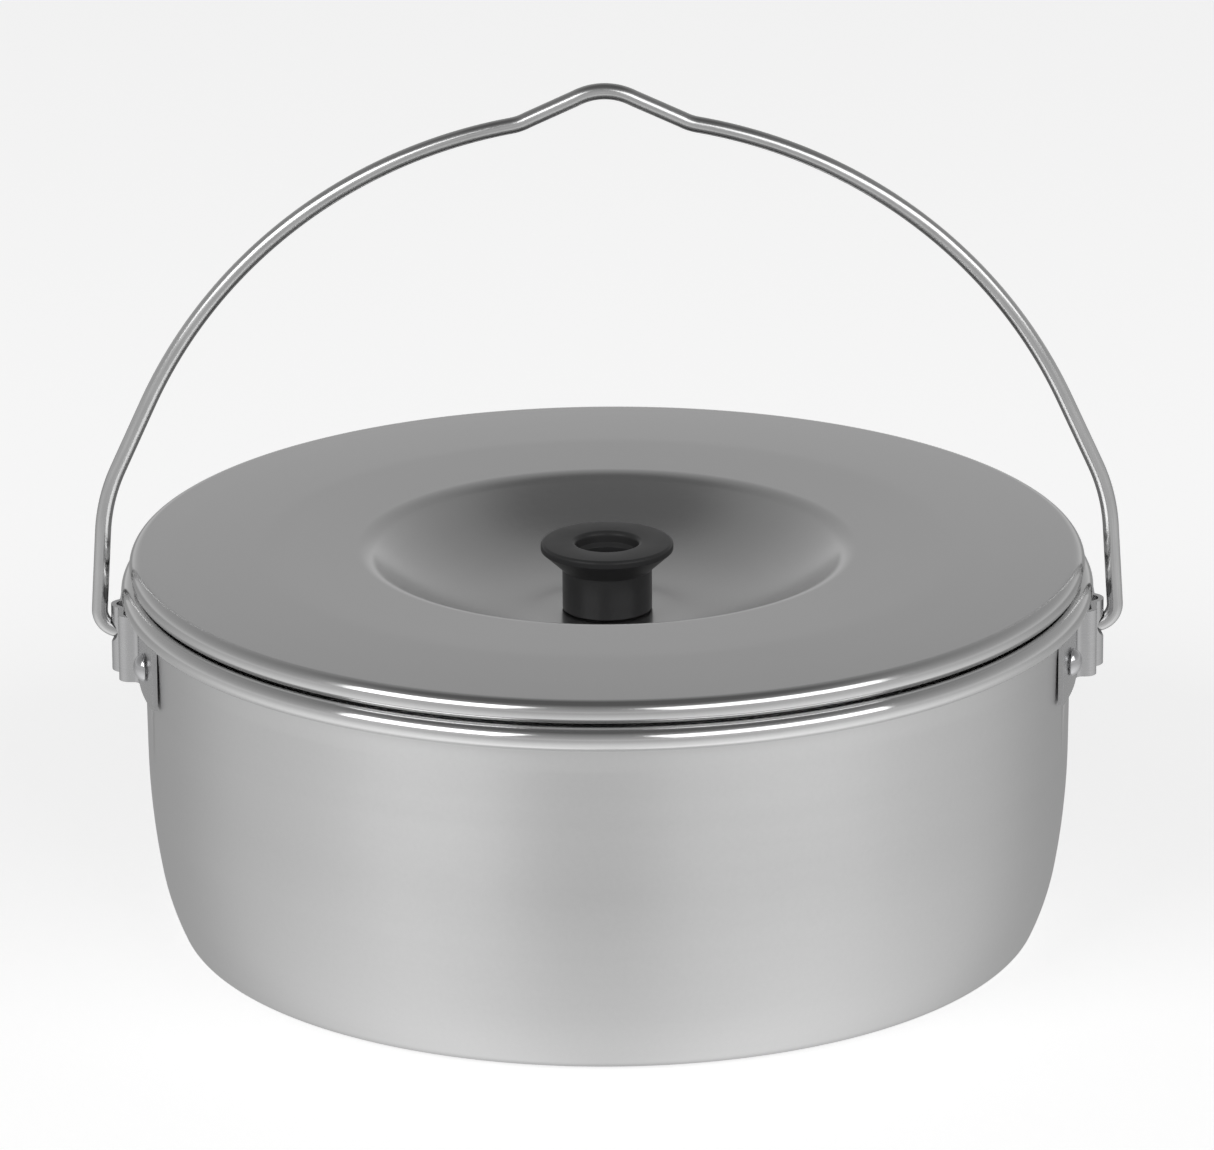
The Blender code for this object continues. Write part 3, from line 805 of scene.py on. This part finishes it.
def spun_aluminium(name, tone, roughness, rim_roughness, grain, ring_depth, mottle):
    """Satin aluminium with rings round the Z axis, burnished where the rim is rolled."""
    made = bpy.data.materials.new(name)
    made.use_nodes = True
    tree = made.node_tree
    tree.nodes.clear()

    place_frame = tree.nodes.new("NodeFrame")
    place_frame.label = "Where on the turned part"
    coordinates = tree.nodes.new("ShaderNodeTexCoord")
    coordinates.label = "Place in the kettle"
    split = tree.nodes.new("ShaderNodeSeparateXYZ")
    split.label = "Across, along and up"
    flat = tree.nodes.new("ShaderNodeCombineXYZ")
    flat.label = "Place with no height"
    radius = tree.nodes.new("ShaderNodeVectorMath")
    radius.label = "Distance to the axis"
    direction = tree.nodes.new("ShaderNodeVectorMath")
    direction.label = "Direction from the axis"
    profile = tree.nodes.new("ShaderNodeMath")
    profile.label = "Way along the profile"

    ring_frame = tree.nodes.new("NodeFrame")
    ring_frame.label = "Tool rings"
    ring_place = tree.nodes.new("ShaderNodeVectorMath")
    ring_place.label = "Slow change round the ring"
    fine_spacing = tree.nodes.new("ShaderNodeMath")
    fine_spacing.label = "Fine ring spacing"
    broad_spacing = tree.nodes.new("ShaderNodeMath")
    broad_spacing.label = "Broad ring spacing"
    fine_rings = tree.nodes.new("ShaderNodeTexNoise")
    fine_rings.label = "Fine rings"
    broad_rings = tree.nodes.new("ShaderNodeTexNoise")
    broad_rings.label = "Broad rings"
    bump = tree.nodes.new("ShaderNodeBump")
    bump.label = "Ring relief"

    mottle_frame = tree.nodes.new("NodeFrame")
    mottle_frame.label = "Slow mottle of the wash"
    cloud = tree.nodes.new("ShaderNodeTexNoise")
    cloud.label = "Wash clouds"
    specks = tree.nodes.new("ShaderNodeTexNoise")
    specks.label = "Fine grain"
    blend = tree.nodes.new("ShaderNodeMix")
    blend.label = "Rings and clouds together"
    grainy = tree.nodes.new("ShaderNodeMix")
    grainy.label = "With fine grain"

    rim_frame = tree.nodes.new("NodeFrame")
    rim_frame.label = "Burnished by the rolling of the rim"
    on_rim = tree.nodes.new("ShaderNodeMapRange")
    on_rim.label = "Out on the rim"
    rim_gloss = tree.nodes.new("ShaderNodeMix")
    rim_gloss.label = "Satin to burnished"

    surface_frame = tree.nodes.new("NodeFrame")
    surface_frame.label = "Satin metal"
    tone_range = tree.nodes.new("ShaderNodeMapRange")
    tone_range.label = "Tone"
    colour = tree.nodes.new("ShaderNodeCombineColor")
    colour.label = "Neutral colour"
    gloss_range = tree.nodes.new("ShaderNodeMapRange")
    gloss_range.label = "Roughness"
    tangent = tree.nodes.new("ShaderNodeTangent")
    tangent.label = "Along the rings"
    shader = tree.nodes.new("ShaderNodeBsdfPrincipled")
    shader.label = "Aluminium"
    output = tree.nodes.new("ShaderNodeOutputMaterial")
    output.label = "Surface"

    lay_out(
        (place_frame, (coordinates, split, flat, radius, direction, profile)),
        (ring_frame, (ring_place, fine_spacing, broad_spacing, fine_rings, broad_rings, bump)),
        (mottle_frame, (cloud, specks, blend, grainy)),
        (rim_frame, (on_rim, rim_gloss)),
        (surface_frame, (tone_range, colour, gloss_range, tangent, shader, output)),
    )

    radius.operation = "LENGTH"
    direction.operation = "NORMALIZE"
    profile.operation = "ADD"
    ring_place.operation = "SCALE"
    ring_place.inputs["Scale"].default_value = 0.35
    for spacing, rings_per_metre in ((fine_spacing, 1500.0), (broad_spacing, 140.0)):
        spacing.operation = "MULTIPLY"
        spacing.inputs[1].default_value = rings_per_metre
    for rings, detail in ((fine_rings, 3.0), (broad_rings, 2.0)):
        rings.noise_dimensions = "4D"
        rings.inputs["Scale"].default_value = 1.0
        rings.inputs["Detail"].default_value = detail
    cloud.inputs["Scale"].default_value = 26.0
    cloud.inputs["Detail"].default_value = 3.0
    specks.inputs["Scale"].default_value = 900.0
    specks.inputs["Detail"].default_value = 2.0
    blend.data_type = "FLOAT"
    blend.inputs["Factor"].default_value = 0.5
    grainy.data_type = "FLOAT"
    grainy.inputs["Factor"].default_value = 0.3
    tones = (tone_range, tone * (1 - mottle), tone * (1 + mottle))
    glosses = (gloss_range, roughness * 0.93, roughness * 1.07)
    for node, low, high in (tones, glosses):
        node.inputs["From Min"].default_value = NOISE_LOW
        node.inputs["From Max"].default_value = NOISE_HIGH
        node.inputs["To Min"].default_value = low
        node.inputs["To Max"].default_value = high
    on_rim.inputs["From Min"].default_value = RIM_FROM
    on_rim.inputs["From Max"].default_value = RIM_FROM + RIM_BLEND
    rim_gloss.data_type = "FLOAT"
    rim_gloss.inputs["B"].default_value = rim_roughness
    tangent.direction_type = "RADIAL"
    tangent.axis = "Z"
    bump.inputs["Strength"].default_value = 1.0
    bump.inputs["Distance"].default_value = ring_depth * 0.001
    shader.inputs["Metallic"].default_value = 1.0
    shader.inputs["Anisotropic"].default_value = grain
    shader.inputs["Anisotropic Rotation"].default_value = 0.25

    links = tree.links
    links.new(coordinates.outputs["Object"], split.inputs["Vector"])
    links.new(split.outputs["X"], flat.inputs["X"])
    links.new(split.outputs["Y"], flat.inputs["Y"])
    links.new(flat.outputs["Vector"], radius.inputs[0])
    links.new(flat.outputs["Vector"], direction.inputs[0])
    links.new(radius.outputs["Value"], profile.inputs[0])
    links.new(split.outputs["Z"], profile.inputs[1])
    links.new(direction.outputs["Vector"], ring_place.inputs[0])
    for spacing, rings in ((fine_spacing, fine_rings), (broad_spacing, broad_rings)):
        links.new(profile.outputs["Value"], spacing.inputs[0])
        links.new(spacing.outputs["Value"], rings.inputs["W"])
        links.new(ring_place.outputs["Vector"], rings.inputs["Vector"])
    links.new(coordinates.outputs["Object"], cloud.inputs["Vector"])
    links.new(coordinates.outputs["Object"], specks.inputs["Vector"])
    links.new(broad_rings.outputs["Fac"], blend.inputs["A"])
    links.new(cloud.outputs["Fac"], blend.inputs["B"])
    links.new(blend.outputs["Result"], grainy.inputs["A"])
    links.new(specks.outputs["Fac"], grainy.inputs["B"])
    links.new(grainy.outputs["Result"], tone_range.inputs["Value"])
    links.new(grainy.outputs["Result"], gloss_range.inputs["Value"])
    for channel in ("Red", "Green", "Blue"):
        links.new(tone_range.outputs["Result"], colour.inputs[channel])
    links.new(fine_rings.outputs["Fac"], bump.inputs["Height"])
    links.new(colour.outputs["Color"], shader.inputs["Base Color"])
    links.new(radius.outputs["Value"], on_rim.inputs["Value"])
    links.new(on_rim.outputs["Result"], rim_gloss.inputs["Factor"])
    links.new(gloss_range.outputs["Result"], rim_gloss.inputs["A"])
    links.new(rim_gloss.outputs["Result"], shader.inputs["Roughness"])
    links.new(tangent.outputs["Tangent"], shader.inputs["Tangent"])
    links.new(bump.outputs["Normal"], shader.inputs["Normal"])
    links.new(shader.outputs["BSDF"], output.inputs["Surface"])
    return made


pot_finish = spun_aluminium(
    "pot aluminium",
    tone=0.67,
    roughness=0.36,
    rim_roughness=0.14,
    grain=0.80,
    ring_depth=0.004,
    mottle=0.03,
)
lid_finish = spun_aluminium(
    "lid aluminium",
    tone=0.62,
    roughness=0.24,
    rim_roughness=0.16,
    grain=0.15,
    ring_depth=0.003,
    mottle=0.025,
)
print("spun finishes:", pot_finish.name, "and", lid_finish.name)

# %% [markdown]
# ## Worked metal for the small parts
#
# Ears, rivets, screw, washer and nut are all metal with a grain from rolling or turning, and
# they differ only in tone, in gloss and in how that grain is stretched. One function makes
# all of them. The grain is noise that is drawn out along one axis, and a second, slower noise
# stands for handling: it dulls the metal here and there.

# %% Worked metal material
def worked_metal(name, colour, roughness, grain_scale, relief):
    """Metal with a stretched grain. `grain_scale` is grains per metre along X, Y and Z."""
    made = bpy.data.materials.new(name)
    made.use_nodes = True
    tree = made.node_tree
    tree.nodes.clear()

    grain_frame = tree.nodes.new("NodeFrame")
    grain_frame.label = "Grain left by rolling or turning"
    coordinates = tree.nodes.new("ShaderNodeTexCoord")
    coordinates.label = "Place in the kettle"
    stretch = tree.nodes.new("ShaderNodeMapping")
    stretch.label = "Stretch along the grain"
    grain = tree.nodes.new("ShaderNodeTexNoise")
    grain.label = "Grain lines"
    bump = tree.nodes.new("ShaderNodeBump")
    bump.label = "Grain relief"

    wear_frame = tree.nodes.new("NodeFrame")
    wear_frame.label = "Dulled by handling"
    handling = tree.nodes.new("ShaderNodeTexNoise")
    handling.label = "Handled patches"
    together = tree.nodes.new("ShaderNodeMix")
    together.label = "Grain with patches"

    surface_frame = tree.nodes.new("NodeFrame")
    surface_frame.label = "Metal"
    tone = tree.nodes.new("ShaderNodeMix")
    tone.label = "Tone"
    gloss_range = tree.nodes.new("ShaderNodeMapRange")
    gloss_range.label = "Roughness"
    shader = tree.nodes.new("ShaderNodeBsdfPrincipled")
    shader.label = "Worked metal"
    output = tree.nodes.new("ShaderNodeOutputMaterial")
    output.label = "Surface"

    lay_out(
        (grain_frame, (coordinates, stretch, grain, bump)),
        (wear_frame, (handling, together)),
        (surface_frame, (tone, gloss_range, shader, output)),
    )

    stretch.inputs["Scale"].default_value = grain_scale
    grain.inputs["Scale"].default_value = 1.0
    grain.inputs["Detail"].default_value = 3.0
    handling.inputs["Scale"].default_value = 220.0
    handling.inputs["Detail"].default_value = 3.0
    together.data_type = "FLOAT"
    together.inputs["Factor"].default_value = 0.45
    tone.data_type = "RGBA"
    tone.inputs["A"].default_value = (*[channel * 0.9 for channel in colour], 1.0)
    tone.inputs["B"].default_value = (*[min(channel * 1.08, 1.0) for channel in colour], 1.0)
    gloss_range.inputs["From Min"].default_value = NOISE_LOW
    gloss_range.inputs["From Max"].default_value = NOISE_HIGH
    gloss_range.inputs["To Min"].default_value = roughness * 0.85
    gloss_range.inputs["To Max"].default_value = roughness * 1.15
    bump.inputs["Strength"].default_value = 1.0
    bump.inputs["Distance"].default_value = relief * 0.001
    shader.inputs["Metallic"].default_value = 1.0

    links = tree.links
    links.new(coordinates.outputs["Object"], stretch.inputs["Vector"])
    links.new(stretch.outputs["Vector"], grain.inputs["Vector"])
    links.new(coordinates.outputs["Object"], handling.inputs["Vector"])
    links.new(grain.outputs["Fac"], together.inputs["A"])
    links.new(handling.outputs["Fac"], together.inputs["B"])
    links.new(together.outputs["Result"], tone.inputs["Factor"])
    links.new(together.outputs["Result"], gloss_range.inputs["Value"])
    links.new(grain.outputs["Fac"], bump.inputs["Height"])
    links.new(tone.outputs["Result"], shader.inputs["Base Color"])
    links.new(gloss_range.outputs["Result"], shader.inputs["Roughness"])
    links.new(bump.outputs["Normal"], shader.inputs["Normal"])
    links.new(shader.outputs["BSDF"], output.inputs["Surface"])
    return made


ear_finish = worked_metal("ear aluminium", (0.56, 0.56, 0.565), 0.26, (300, 300, 2600), 0.006)
rivet_finish = worked_metal("rivet aluminium", (0.56, 0.56, 0.57), 0.15, (900, 900, 900), 0.004)
zinc_finish = worked_metal("zinc plate", (0.60, 0.61, 0.64), 0.28, (1200, 1200, 400), 0.004)
print("worked finishes:", ear_finish.name, rivet_finish.name, zinc_finish.name)

# %% [markdown]
# ## Drawn wire
#
# Wire is pulled cold through a die, and the die scratches it in straight lines from end to
# end. So its noise is read from the coordinate that the sweep stored: quick round the wire and
# very slow along it. The lines are shallow, so the wire keeps a clear bright stripe.

# %% Drawn wire material
def drawn_wire(name, tone, roughness, line_depth):
    """Bright steel wire with die lines along its length."""
    made = bpy.data.materials.new(name)
    made.use_nodes = True
    tree = made.node_tree
    tree.nodes.clear()

    line_frame = tree.nodes.new("NodeFrame")
    line_frame.label = "Die lines"
    place = tree.nodes.new("ShaderNodeAttribute")
    place.label = "Side and length of the wire"
    stretch = tree.nodes.new("ShaderNodeMapping")
    stretch.label = "Quick round, slow along"
    die_lines = tree.nodes.new("ShaderNodeTexNoise")
    die_lines.label = "Lines of the die"
    bump = tree.nodes.new("ShaderNodeBump")
    bump.label = "Line relief"

    patch_frame = tree.nodes.new("NodeFrame")
    patch_frame.label = "Dull stretches"
    long_place = tree.nodes.new("ShaderNodeMapping")
    long_place.label = "Slow along the wire"
    patches = tree.nodes.new("ShaderNodeTexNoise")
    patches.label = "Duller stretches"
    together = tree.nodes.new("ShaderNodeMix")
    together.label = "Lines with dull stretches"

    surface_frame = tree.nodes.new("NodeFrame")
    surface_frame.label = "Steel"
    tone_range = tree.nodes.new("ShaderNodeMapRange")
    tone_range.label = "Tone"
    colour = tree.nodes.new("ShaderNodeCombineColor")
    colour.label = "Neutral colour"
    gloss_range = tree.nodes.new("ShaderNodeMapRange")
    gloss_range.label = "Roughness"
    shader = tree.nodes.new("ShaderNodeBsdfPrincipled")
    shader.label = "Drawn steel"
    output = tree.nodes.new("ShaderNodeOutputMaterial")
    output.label = "Surface"

    lay_out(
        (line_frame, (place, stretch, die_lines, bump)),
        (patch_frame, (long_place, patches, together)),
        (surface_frame, (tone_range, colour, gloss_range, shader, output)),
    )

    place.attribute_name = "along_wire"
    stretch.inputs["Scale"].default_value = (9.0, 9.0, 0.05)
    long_place.inputs["Scale"].default_value = (0.8, 0.8, 0.12)
    for noise in (die_lines, patches):
        noise.inputs["Scale"].default_value = 1.0
        noise.inputs["Detail"].default_value = 2.0
    together.data_type = "FLOAT"
    together.inputs["Factor"].default_value = 0.5
    tones = (tone_range, tone * 0.9, tone * 1.08)
    glosses = (gloss_range, roughness * 0.8, roughness * 1.2)
    for node, low, high in (tones, glosses):
        node.inputs["From Min"].default_value = NOISE_LOW
        node.inputs["From Max"].default_value = NOISE_HIGH
        node.inputs["To Min"].default_value = low
        node.inputs["To Max"].default_value = high
    bump.inputs["Strength"].default_value = 1.0
    bump.inputs["Distance"].default_value = line_depth * 0.001
    shader.inputs["Metallic"].default_value = 1.0

    links = tree.links
    links.new(place.outputs["Vector"], stretch.inputs["Vector"])
    links.new(place.outputs["Vector"], long_place.inputs["Vector"])
    links.new(stretch.outputs["Vector"], die_lines.inputs["Vector"])
    links.new(long_place.outputs["Vector"], patches.inputs["Vector"])
    links.new(die_lines.outputs["Fac"], together.inputs["A"])
    links.new(patches.outputs["Fac"], together.inputs["B"])
    links.new(together.outputs["Result"], tone_range.inputs["Value"])
    links.new(together.outputs["Result"], gloss_range.inputs["Value"])
    for channel in ("Red", "Green", "Blue"):
        links.new(tone_range.outputs["Result"], colour.inputs[channel])
    links.new(die_lines.outputs["Fac"], bump.inputs["Height"])
    links.new(colour.outputs["Color"], shader.inputs["Base Color"])
    links.new(gloss_range.outputs["Result"], shader.inputs["Roughness"])
    links.new(bump.outputs["Normal"], shader.inputs["Normal"])
    links.new(shader.outputs["BSDF"], output.inputs["Surface"])
    return made


wire_finish = drawn_wire("bail steel", tone=0.57, roughness=0.23, line_depth=0.006)
print("wire finish:", wire_finish.name)

# %% [markdown]
# ## Moulded phenolic
#
# Phenolic comes out of a fine-blasted mould with an even satin skin. It is not quite black,
# and it has a faint pebble from the mould and a slow change in gloss where it has been
# touched.

# %% Black phenolic material
def moulded_black(name, tone, roughness, pebble):
    """Satin black plastic with a fine moulded pebble."""
    made = bpy.data.materials.new(name)
    made.use_nodes = True
    tree = made.node_tree
    tree.nodes.clear()

    pebble_frame = tree.nodes.new("NodeFrame")
    pebble_frame.label = "Skin of the mould"
    coordinates = tree.nodes.new("ShaderNodeTexCoord")
    coordinates.label = "Place in the kettle"
    skin = tree.nodes.new("ShaderNodeTexNoise")
    skin.label = "Pebble"
    bump = tree.nodes.new("ShaderNodeBump")
    bump.label = "Pebble relief"

    gloss_frame = tree.nodes.new("NodeFrame")
    gloss_frame.label = "Gloss where it is touched"
    touched = tree.nodes.new("ShaderNodeTexNoise")
    touched.label = "Touched patches"
    gloss_range = tree.nodes.new("ShaderNodeMapRange")
    gloss_range.label = "Roughness"

    surface_frame = tree.nodes.new("NodeFrame")
    surface_frame.label = "Phenolic"
    tone_ramp = tree.nodes.new("ShaderNodeValToRGB")
    tone_ramp.label = "Almost black"
    shader = tree.nodes.new("ShaderNodeBsdfPrincipled")
    shader.label = "Black phenolic"
    output = tree.nodes.new("ShaderNodeOutputMaterial")
    output.label = "Surface"

    lay_out(
        (pebble_frame, (coordinates, skin, bump)),
        (gloss_frame, (touched, gloss_range)),
        (surface_frame, (tone_ramp, shader, output)),
    )

    skin.inputs["Scale"].default_value = 2600.0
    skin.inputs["Detail"].default_value = 2.0
    touched.inputs["Scale"].default_value = 130.0
    touched.inputs["Detail"].default_value = 3.0
    gloss_range.inputs["From Min"].default_value = NOISE_LOW
    gloss_range.inputs["From Max"].default_value = NOISE_HIGH
    gloss_range.inputs["To Min"].default_value = roughness * 0.88
    gloss_range.inputs["To Max"].default_value = roughness * 1.12
    tone_ramp.color_ramp.elements[0].color = (tone * 0.8, tone * 0.8, tone * 0.82, 1.0)
    tone_ramp.color_ramp.elements[1].color = (tone * 1.2, tone * 1.2, tone * 1.22, 1.0)
    bump.inputs["Strength"].default_value = 1.0
    bump.inputs["Distance"].default_value = pebble * 0.001
    shader.inputs["IOR"].default_value = 1.5
    shader.inputs["Specular IOR Level"].default_value = 0.15

    links = tree.links
    links.new(coordinates.outputs["Object"], skin.inputs["Vector"])
    links.new(coordinates.outputs["Object"], touched.inputs["Vector"])
    links.new(touched.outputs["Fac"], tone_ramp.inputs["Fac"])
    links.new(touched.outputs["Fac"], gloss_range.inputs["Value"])
    links.new(skin.outputs["Fac"], bump.inputs["Height"])
    links.new(tone_ramp.outputs["Color"], shader.inputs["Base Color"])
    links.new(gloss_range.outputs["Result"], shader.inputs["Roughness"])
    links.new(bump.outputs["Normal"], shader.inputs["Normal"])
    links.new(shader.outputs["BSDF"], output.inputs["Surface"])
    return made


knob_finish = moulded_black("black phenolic", tone=0.033, roughness=0.34, pebble=0.002)
print("knob finish:", knob_finish.name)

# %% [markdown]
# ## Joining the pieces to the frame
#
# Each fine piece says four things: its finish, the material slot it belongs to, the body it
# moves with, and the part of the frame that it stands for. The lid carries its knob and
# screw, the bail swings alone, and everything else stays with the pot.

# %% Attach every piece
pieces = [
    (pot, pot_finish, "satin_aluminium", "pot", "pot_body"),
    (lid, lid_finish, "satin_aluminium", "lid", "lid_plate"),
    (knob, knob_finish, "black_phenolic", "lid", "lid_knob"),
    (screw, zinc_finish, "zinc_steel", "lid", "knob_screw"),
    (washer, zinc_finish, "zinc_steel", "lid", "knob_washer"),
    (nut, zinc_finish, "zinc_steel", "lid", "knob_nut"),
    (bail, wire_finish, "bail_steel", "bail", "bail_handle"),
]
for side_name, ear in ears.items():
    pieces.append((ear, ear_finish, "ear_aluminium", "pot", "ear_bracket_" + side_name))
for node, rivet in rivets.items():
    pieces.append((rivet, rivet_finish, "rivet_aluminium", "pot", node))

for piece, finish, slot, body, node in pieces:
    piece.data.materials.append(finish)
    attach(piece, body)
    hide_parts(node)
print("pieces attached:", len(pieces))

# %% [markdown]
# ## Floor
#
# The kettle stands on a wide, plain, pale table. The table glows a little, as a light table
# does, so that it stays pale right up to the metal and fills the low wall with soft light,
# while the kettle still leaves a faint shadow under itself.

# %% Floor
FLOOR_WIDTH = 9.0
FLOOR_DROP = 0.4
TABLE_TONE = 0.70
TABLE_GLOW = 0.58

floor_shape = bmesh.new()
bmesh.ops.create_grid(floor_shape, x_segments=2, y_segments=2, size=FLOOR_WIDTH / 2)
bmesh.ops.translate(floor_shape, vec=metres(0, 0, -FLOOR_DROP), verts=floor_shape.verts)
floor = finished("floor", floor_shape)

floor_finish = bpy.data.materials.new("pale table")
floor_finish.use_nodes = True
table_tree = floor_finish.node_tree
table_tree.nodes.clear()
table_frame = table_tree.nodes.new("NodeFrame")
table_frame.label = "Pale light table"
table_shader = table_tree.nodes.new("ShaderNodeBsdfPrincipled")
table_shader.label = "Pale table top"
table_output = table_tree.nodes.new("ShaderNodeOutputMaterial")
table_output.label = "Surface"
lay_out((table_frame, (table_shader, table_output)))
table_shader.inputs["Base Color"].default_value = (TABLE_TONE, TABLE_TONE, TABLE_TONE, 1.0)
table_shader.inputs["Roughness"].default_value = 0.9
table_shader.inputs["Specular IOR Level"].default_value = 0.1
table_shader.inputs["Emission Color"].default_value = (1.0, 1.0, 1.0, 1.0)
table_shader.inputs["Emission Strength"].default_value = TABLE_GLOW
table_tree.links.new(table_shader.outputs["BSDF"], table_output.inputs["Surface"])
floor.data.materials.append(floor_finish)
floor.visible_glossy = False
floor.visible_shadow = False
print("floor width in metres:", FLOOR_WIDTH)

# %% [markdown]
# ## Light
#
# Polished metal shows the room, so the room is what has to be built. Two large softboxes stand
# in front, left and right, with a gap between them that draws the calmer middle of the wall.
# Behind the kettle the room is mid-grey, which is what the lid mirrors, and overhead it is
# dark, which puts the soft dark line on top of every rolled edge.

# %% Softboxes
def softbox(name, azimuth, elevation, distance, width, height, radiance):
    """A rectangular soft light that faces the kettle. Azimuth 0 is the front, + is right."""
    light = bpy.data.lights.new(name, "AREA")
    light.shape = "RECTANGLE"
    light.size = width
    light.size_y = height
    light.energy = 4 * radiance * width * height
    around = math.radians(azimuth)
    above = math.radians(elevation)
    level = math.cos(above)
    offset = Vector((math.sin(around) * level, -math.cos(around) * level, math.sin(above)))
    lamp = bpy.data.objects.new(name, light)
    bpy.context.scene.collection.objects.link(lamp)
    lamp.location = offset * distance + Vector((0.0, 0.0, 0.05))
    lamp.rotation_euler = offset.to_track_quat("Z", "Y").to_euler()
    lamp.visible_camera = False
    print(name, "gives", round(light.energy, 1), "watts")


softbox("softbox_left", -44.0, 30.0, 2.2, width=1.5, height=1.0, radiance=2.3)
softbox("softbox_right", 41.0, 30.0, 2.2, width=2.1, height=1.0, radiance=1.65)

# %% [markdown]
# The room itself is a background that depends on direction only. Above the horizon it falls
# from pale to dark overhead. Below the horizon it stands for the lit table: the metal mirrors
# this half instead of the floor, which is hidden from reflections, so the low wall keeps a
# clean light with two broad, brighter bands.

# %% Room
room = bpy.data.worlds.new("studio room")
bpy.context.scene.world = room
room.use_nodes = True
room_tree = room.node_tree
room_tree.nodes.clear()

direction_frame = room_tree.nodes.new("NodeFrame")
direction_frame.label = "Which way it is looked in"
looked_in = room_tree.nodes.new("ShaderNodeTexCoord")
looked_in.label = "Direction"
looked_split = room_tree.nodes.new("ShaderNodeSeparateXYZ")
looked_split.label = "Sideways, back and up"
level_direction = room_tree.nodes.new("ShaderNodeCombineXYZ")
level_direction.label = "Level part"
level_unit = room_tree.nodes.new("ShaderNodeVectorMath")
level_unit.label = "Level direction"
level_split = room_tree.nodes.new("ShaderNodeSeparateXYZ")
level_split.label = "How far back or front"

above_frame = room_tree.nodes.new("NodeFrame")
above_frame.label = "Grey room, dark overhead"
above_tone = room_tree.nodes.new("ShaderNodeValToRGB")
above_tone.label = "From the horizon to overhead"

below_frame = room_tree.nodes.new("NodeFrame")
below_frame.label = "Pale below, brightest front left and right"
depth = room_tree.nodes.new("ShaderNodeMath")
depth.label = "Downwards"
below_tone = room_tree.nodes.new("ShaderNodeValToRGB")
below_tone.label = "From the horizon down"
round_range = room_tree.nodes.new("ShaderNodeMapRange")
round_range.label = "Back is 0, front is 1"
round_tone = room_tree.nodes.new("ShaderNodeValToRGB")
round_tone.label = "From the back round to the front"
below = room_tree.nodes.new("ShaderNodeMix")
below.label = "Lower half"

light_frame = room_tree.nodes.new("NodeFrame")
light_frame.label = "The whole room"
horizon = room_tree.nodes.new("ShaderNodeMapRange")
horizon.label = "Soft horizon"
whole = room_tree.nodes.new("ShaderNodeMix")
whole.label = "Lower and upper half"
room_light = room_tree.nodes.new("ShaderNodeBackground")
room_light.label = "Room"
room_output = room_tree.nodes.new("ShaderNodeOutputWorld")
room_output.label = "World"

lay_out(
    (direction_frame, (looked_in, looked_split, level_direction, level_unit, level_split)),
    (above_frame, (above_tone,)),
    (below_frame, (depth, below_tone, round_range, round_tone, below)),
    (light_frame, (horizon, whole, room_light, room_output)),
)

HORIZON_BLEND = 0.06
ABOVE = ((0.0, 0.68), (0.17, 0.54), (0.31, 0.44), (0.5, 0.38), (0.8, 0.26), (0.93, 0.13), (1.0, 0.13))
BELOW = ((0.0, 0.6), (0.25, 0.70), (0.5, 0.88), (0.75, 1.06), (1.0, 1.2))
ROUND = ((0.0, 0.5), (0.15, 0.6), (0.35, 0.86), (0.6, 0.96), (0.8, 0.97), (0.94, 0.86), (1.0, 0.80))
for ramp, tones in ((above_tone, ABOVE), (below_tone, BELOW), (round_tone, ROUND)):
    stops = ramp.color_ramp.elements
    while len(stops) < len(tones):
        stops.new(0.5)
    for stop, (position, tone) in zip(stops, tones):
        stop.position = position
        stop.color = (tone, tone, tone, 1.0)
level_unit.operation = "NORMALIZE"
depth.operation = "MULTIPLY"
depth.inputs[1].default_value = -1.0
round_range.inputs["From Min"].default_value = 1.0
round_range.inputs["From Max"].default_value = -1.0
horizon.inputs["From Min"].default_value = -HORIZON_BLEND
horizon.inputs["From Max"].default_value = HORIZON_BLEND
below.data_type = "RGBA"
below.blend_type = "MULTIPLY"
below.inputs["Factor"].default_value = 1.0
whole.data_type = "RGBA"

links = room_tree.links
links.new(looked_in.outputs["Generated"], looked_split.inputs["Vector"])
links.new(looked_split.outputs["X"], level_direction.inputs["X"])
links.new(looked_split.outputs["Y"], level_direction.inputs["Y"])
links.new(level_direction.outputs["Vector"], level_unit.inputs[0])
links.new(level_unit.outputs["Vector"], level_split.inputs["Vector"])
links.new(looked_split.outputs["Z"], above_tone.inputs["Fac"])
links.new(looked_split.outputs["Z"], depth.inputs[0])
links.new(depth.outputs["Value"], below_tone.inputs["Fac"])
links.new(level_split.outputs["Y"], round_range.inputs["Value"])
links.new(round_range.outputs["Result"], round_tone.inputs["Fac"])
links.new(below_tone.outputs["Color"], below.inputs["A"])
links.new(round_tone.outputs["Color"], below.inputs["B"])
links.new(looked_split.outputs["Z"], horizon.inputs["Value"])
links.new(horizon.outputs["Result"], whole.inputs["Factor"])
links.new(below.outputs["Result"], whole.inputs["A"])
links.new(above_tone.outputs["Color"], whole.inputs["B"])
links.new(whole.outputs["Result"], room_light.inputs["Color"])
links.new(room_light.outputs["Background"], room_output.inputs["Surface"])
print("room above:", ABOVE)
print("room below:", BELOW)

# %% [markdown]
# The plain Standard view shows tones as they are lit. A filmic view would flatten the bright
# stripes on the rolled edges, which are what tells the eye that this is metal.

# %% View
bpy.context.scene.view_settings.view_transform = "Standard"
print("view:", bpy.context.scene.view_settings.view_transform)
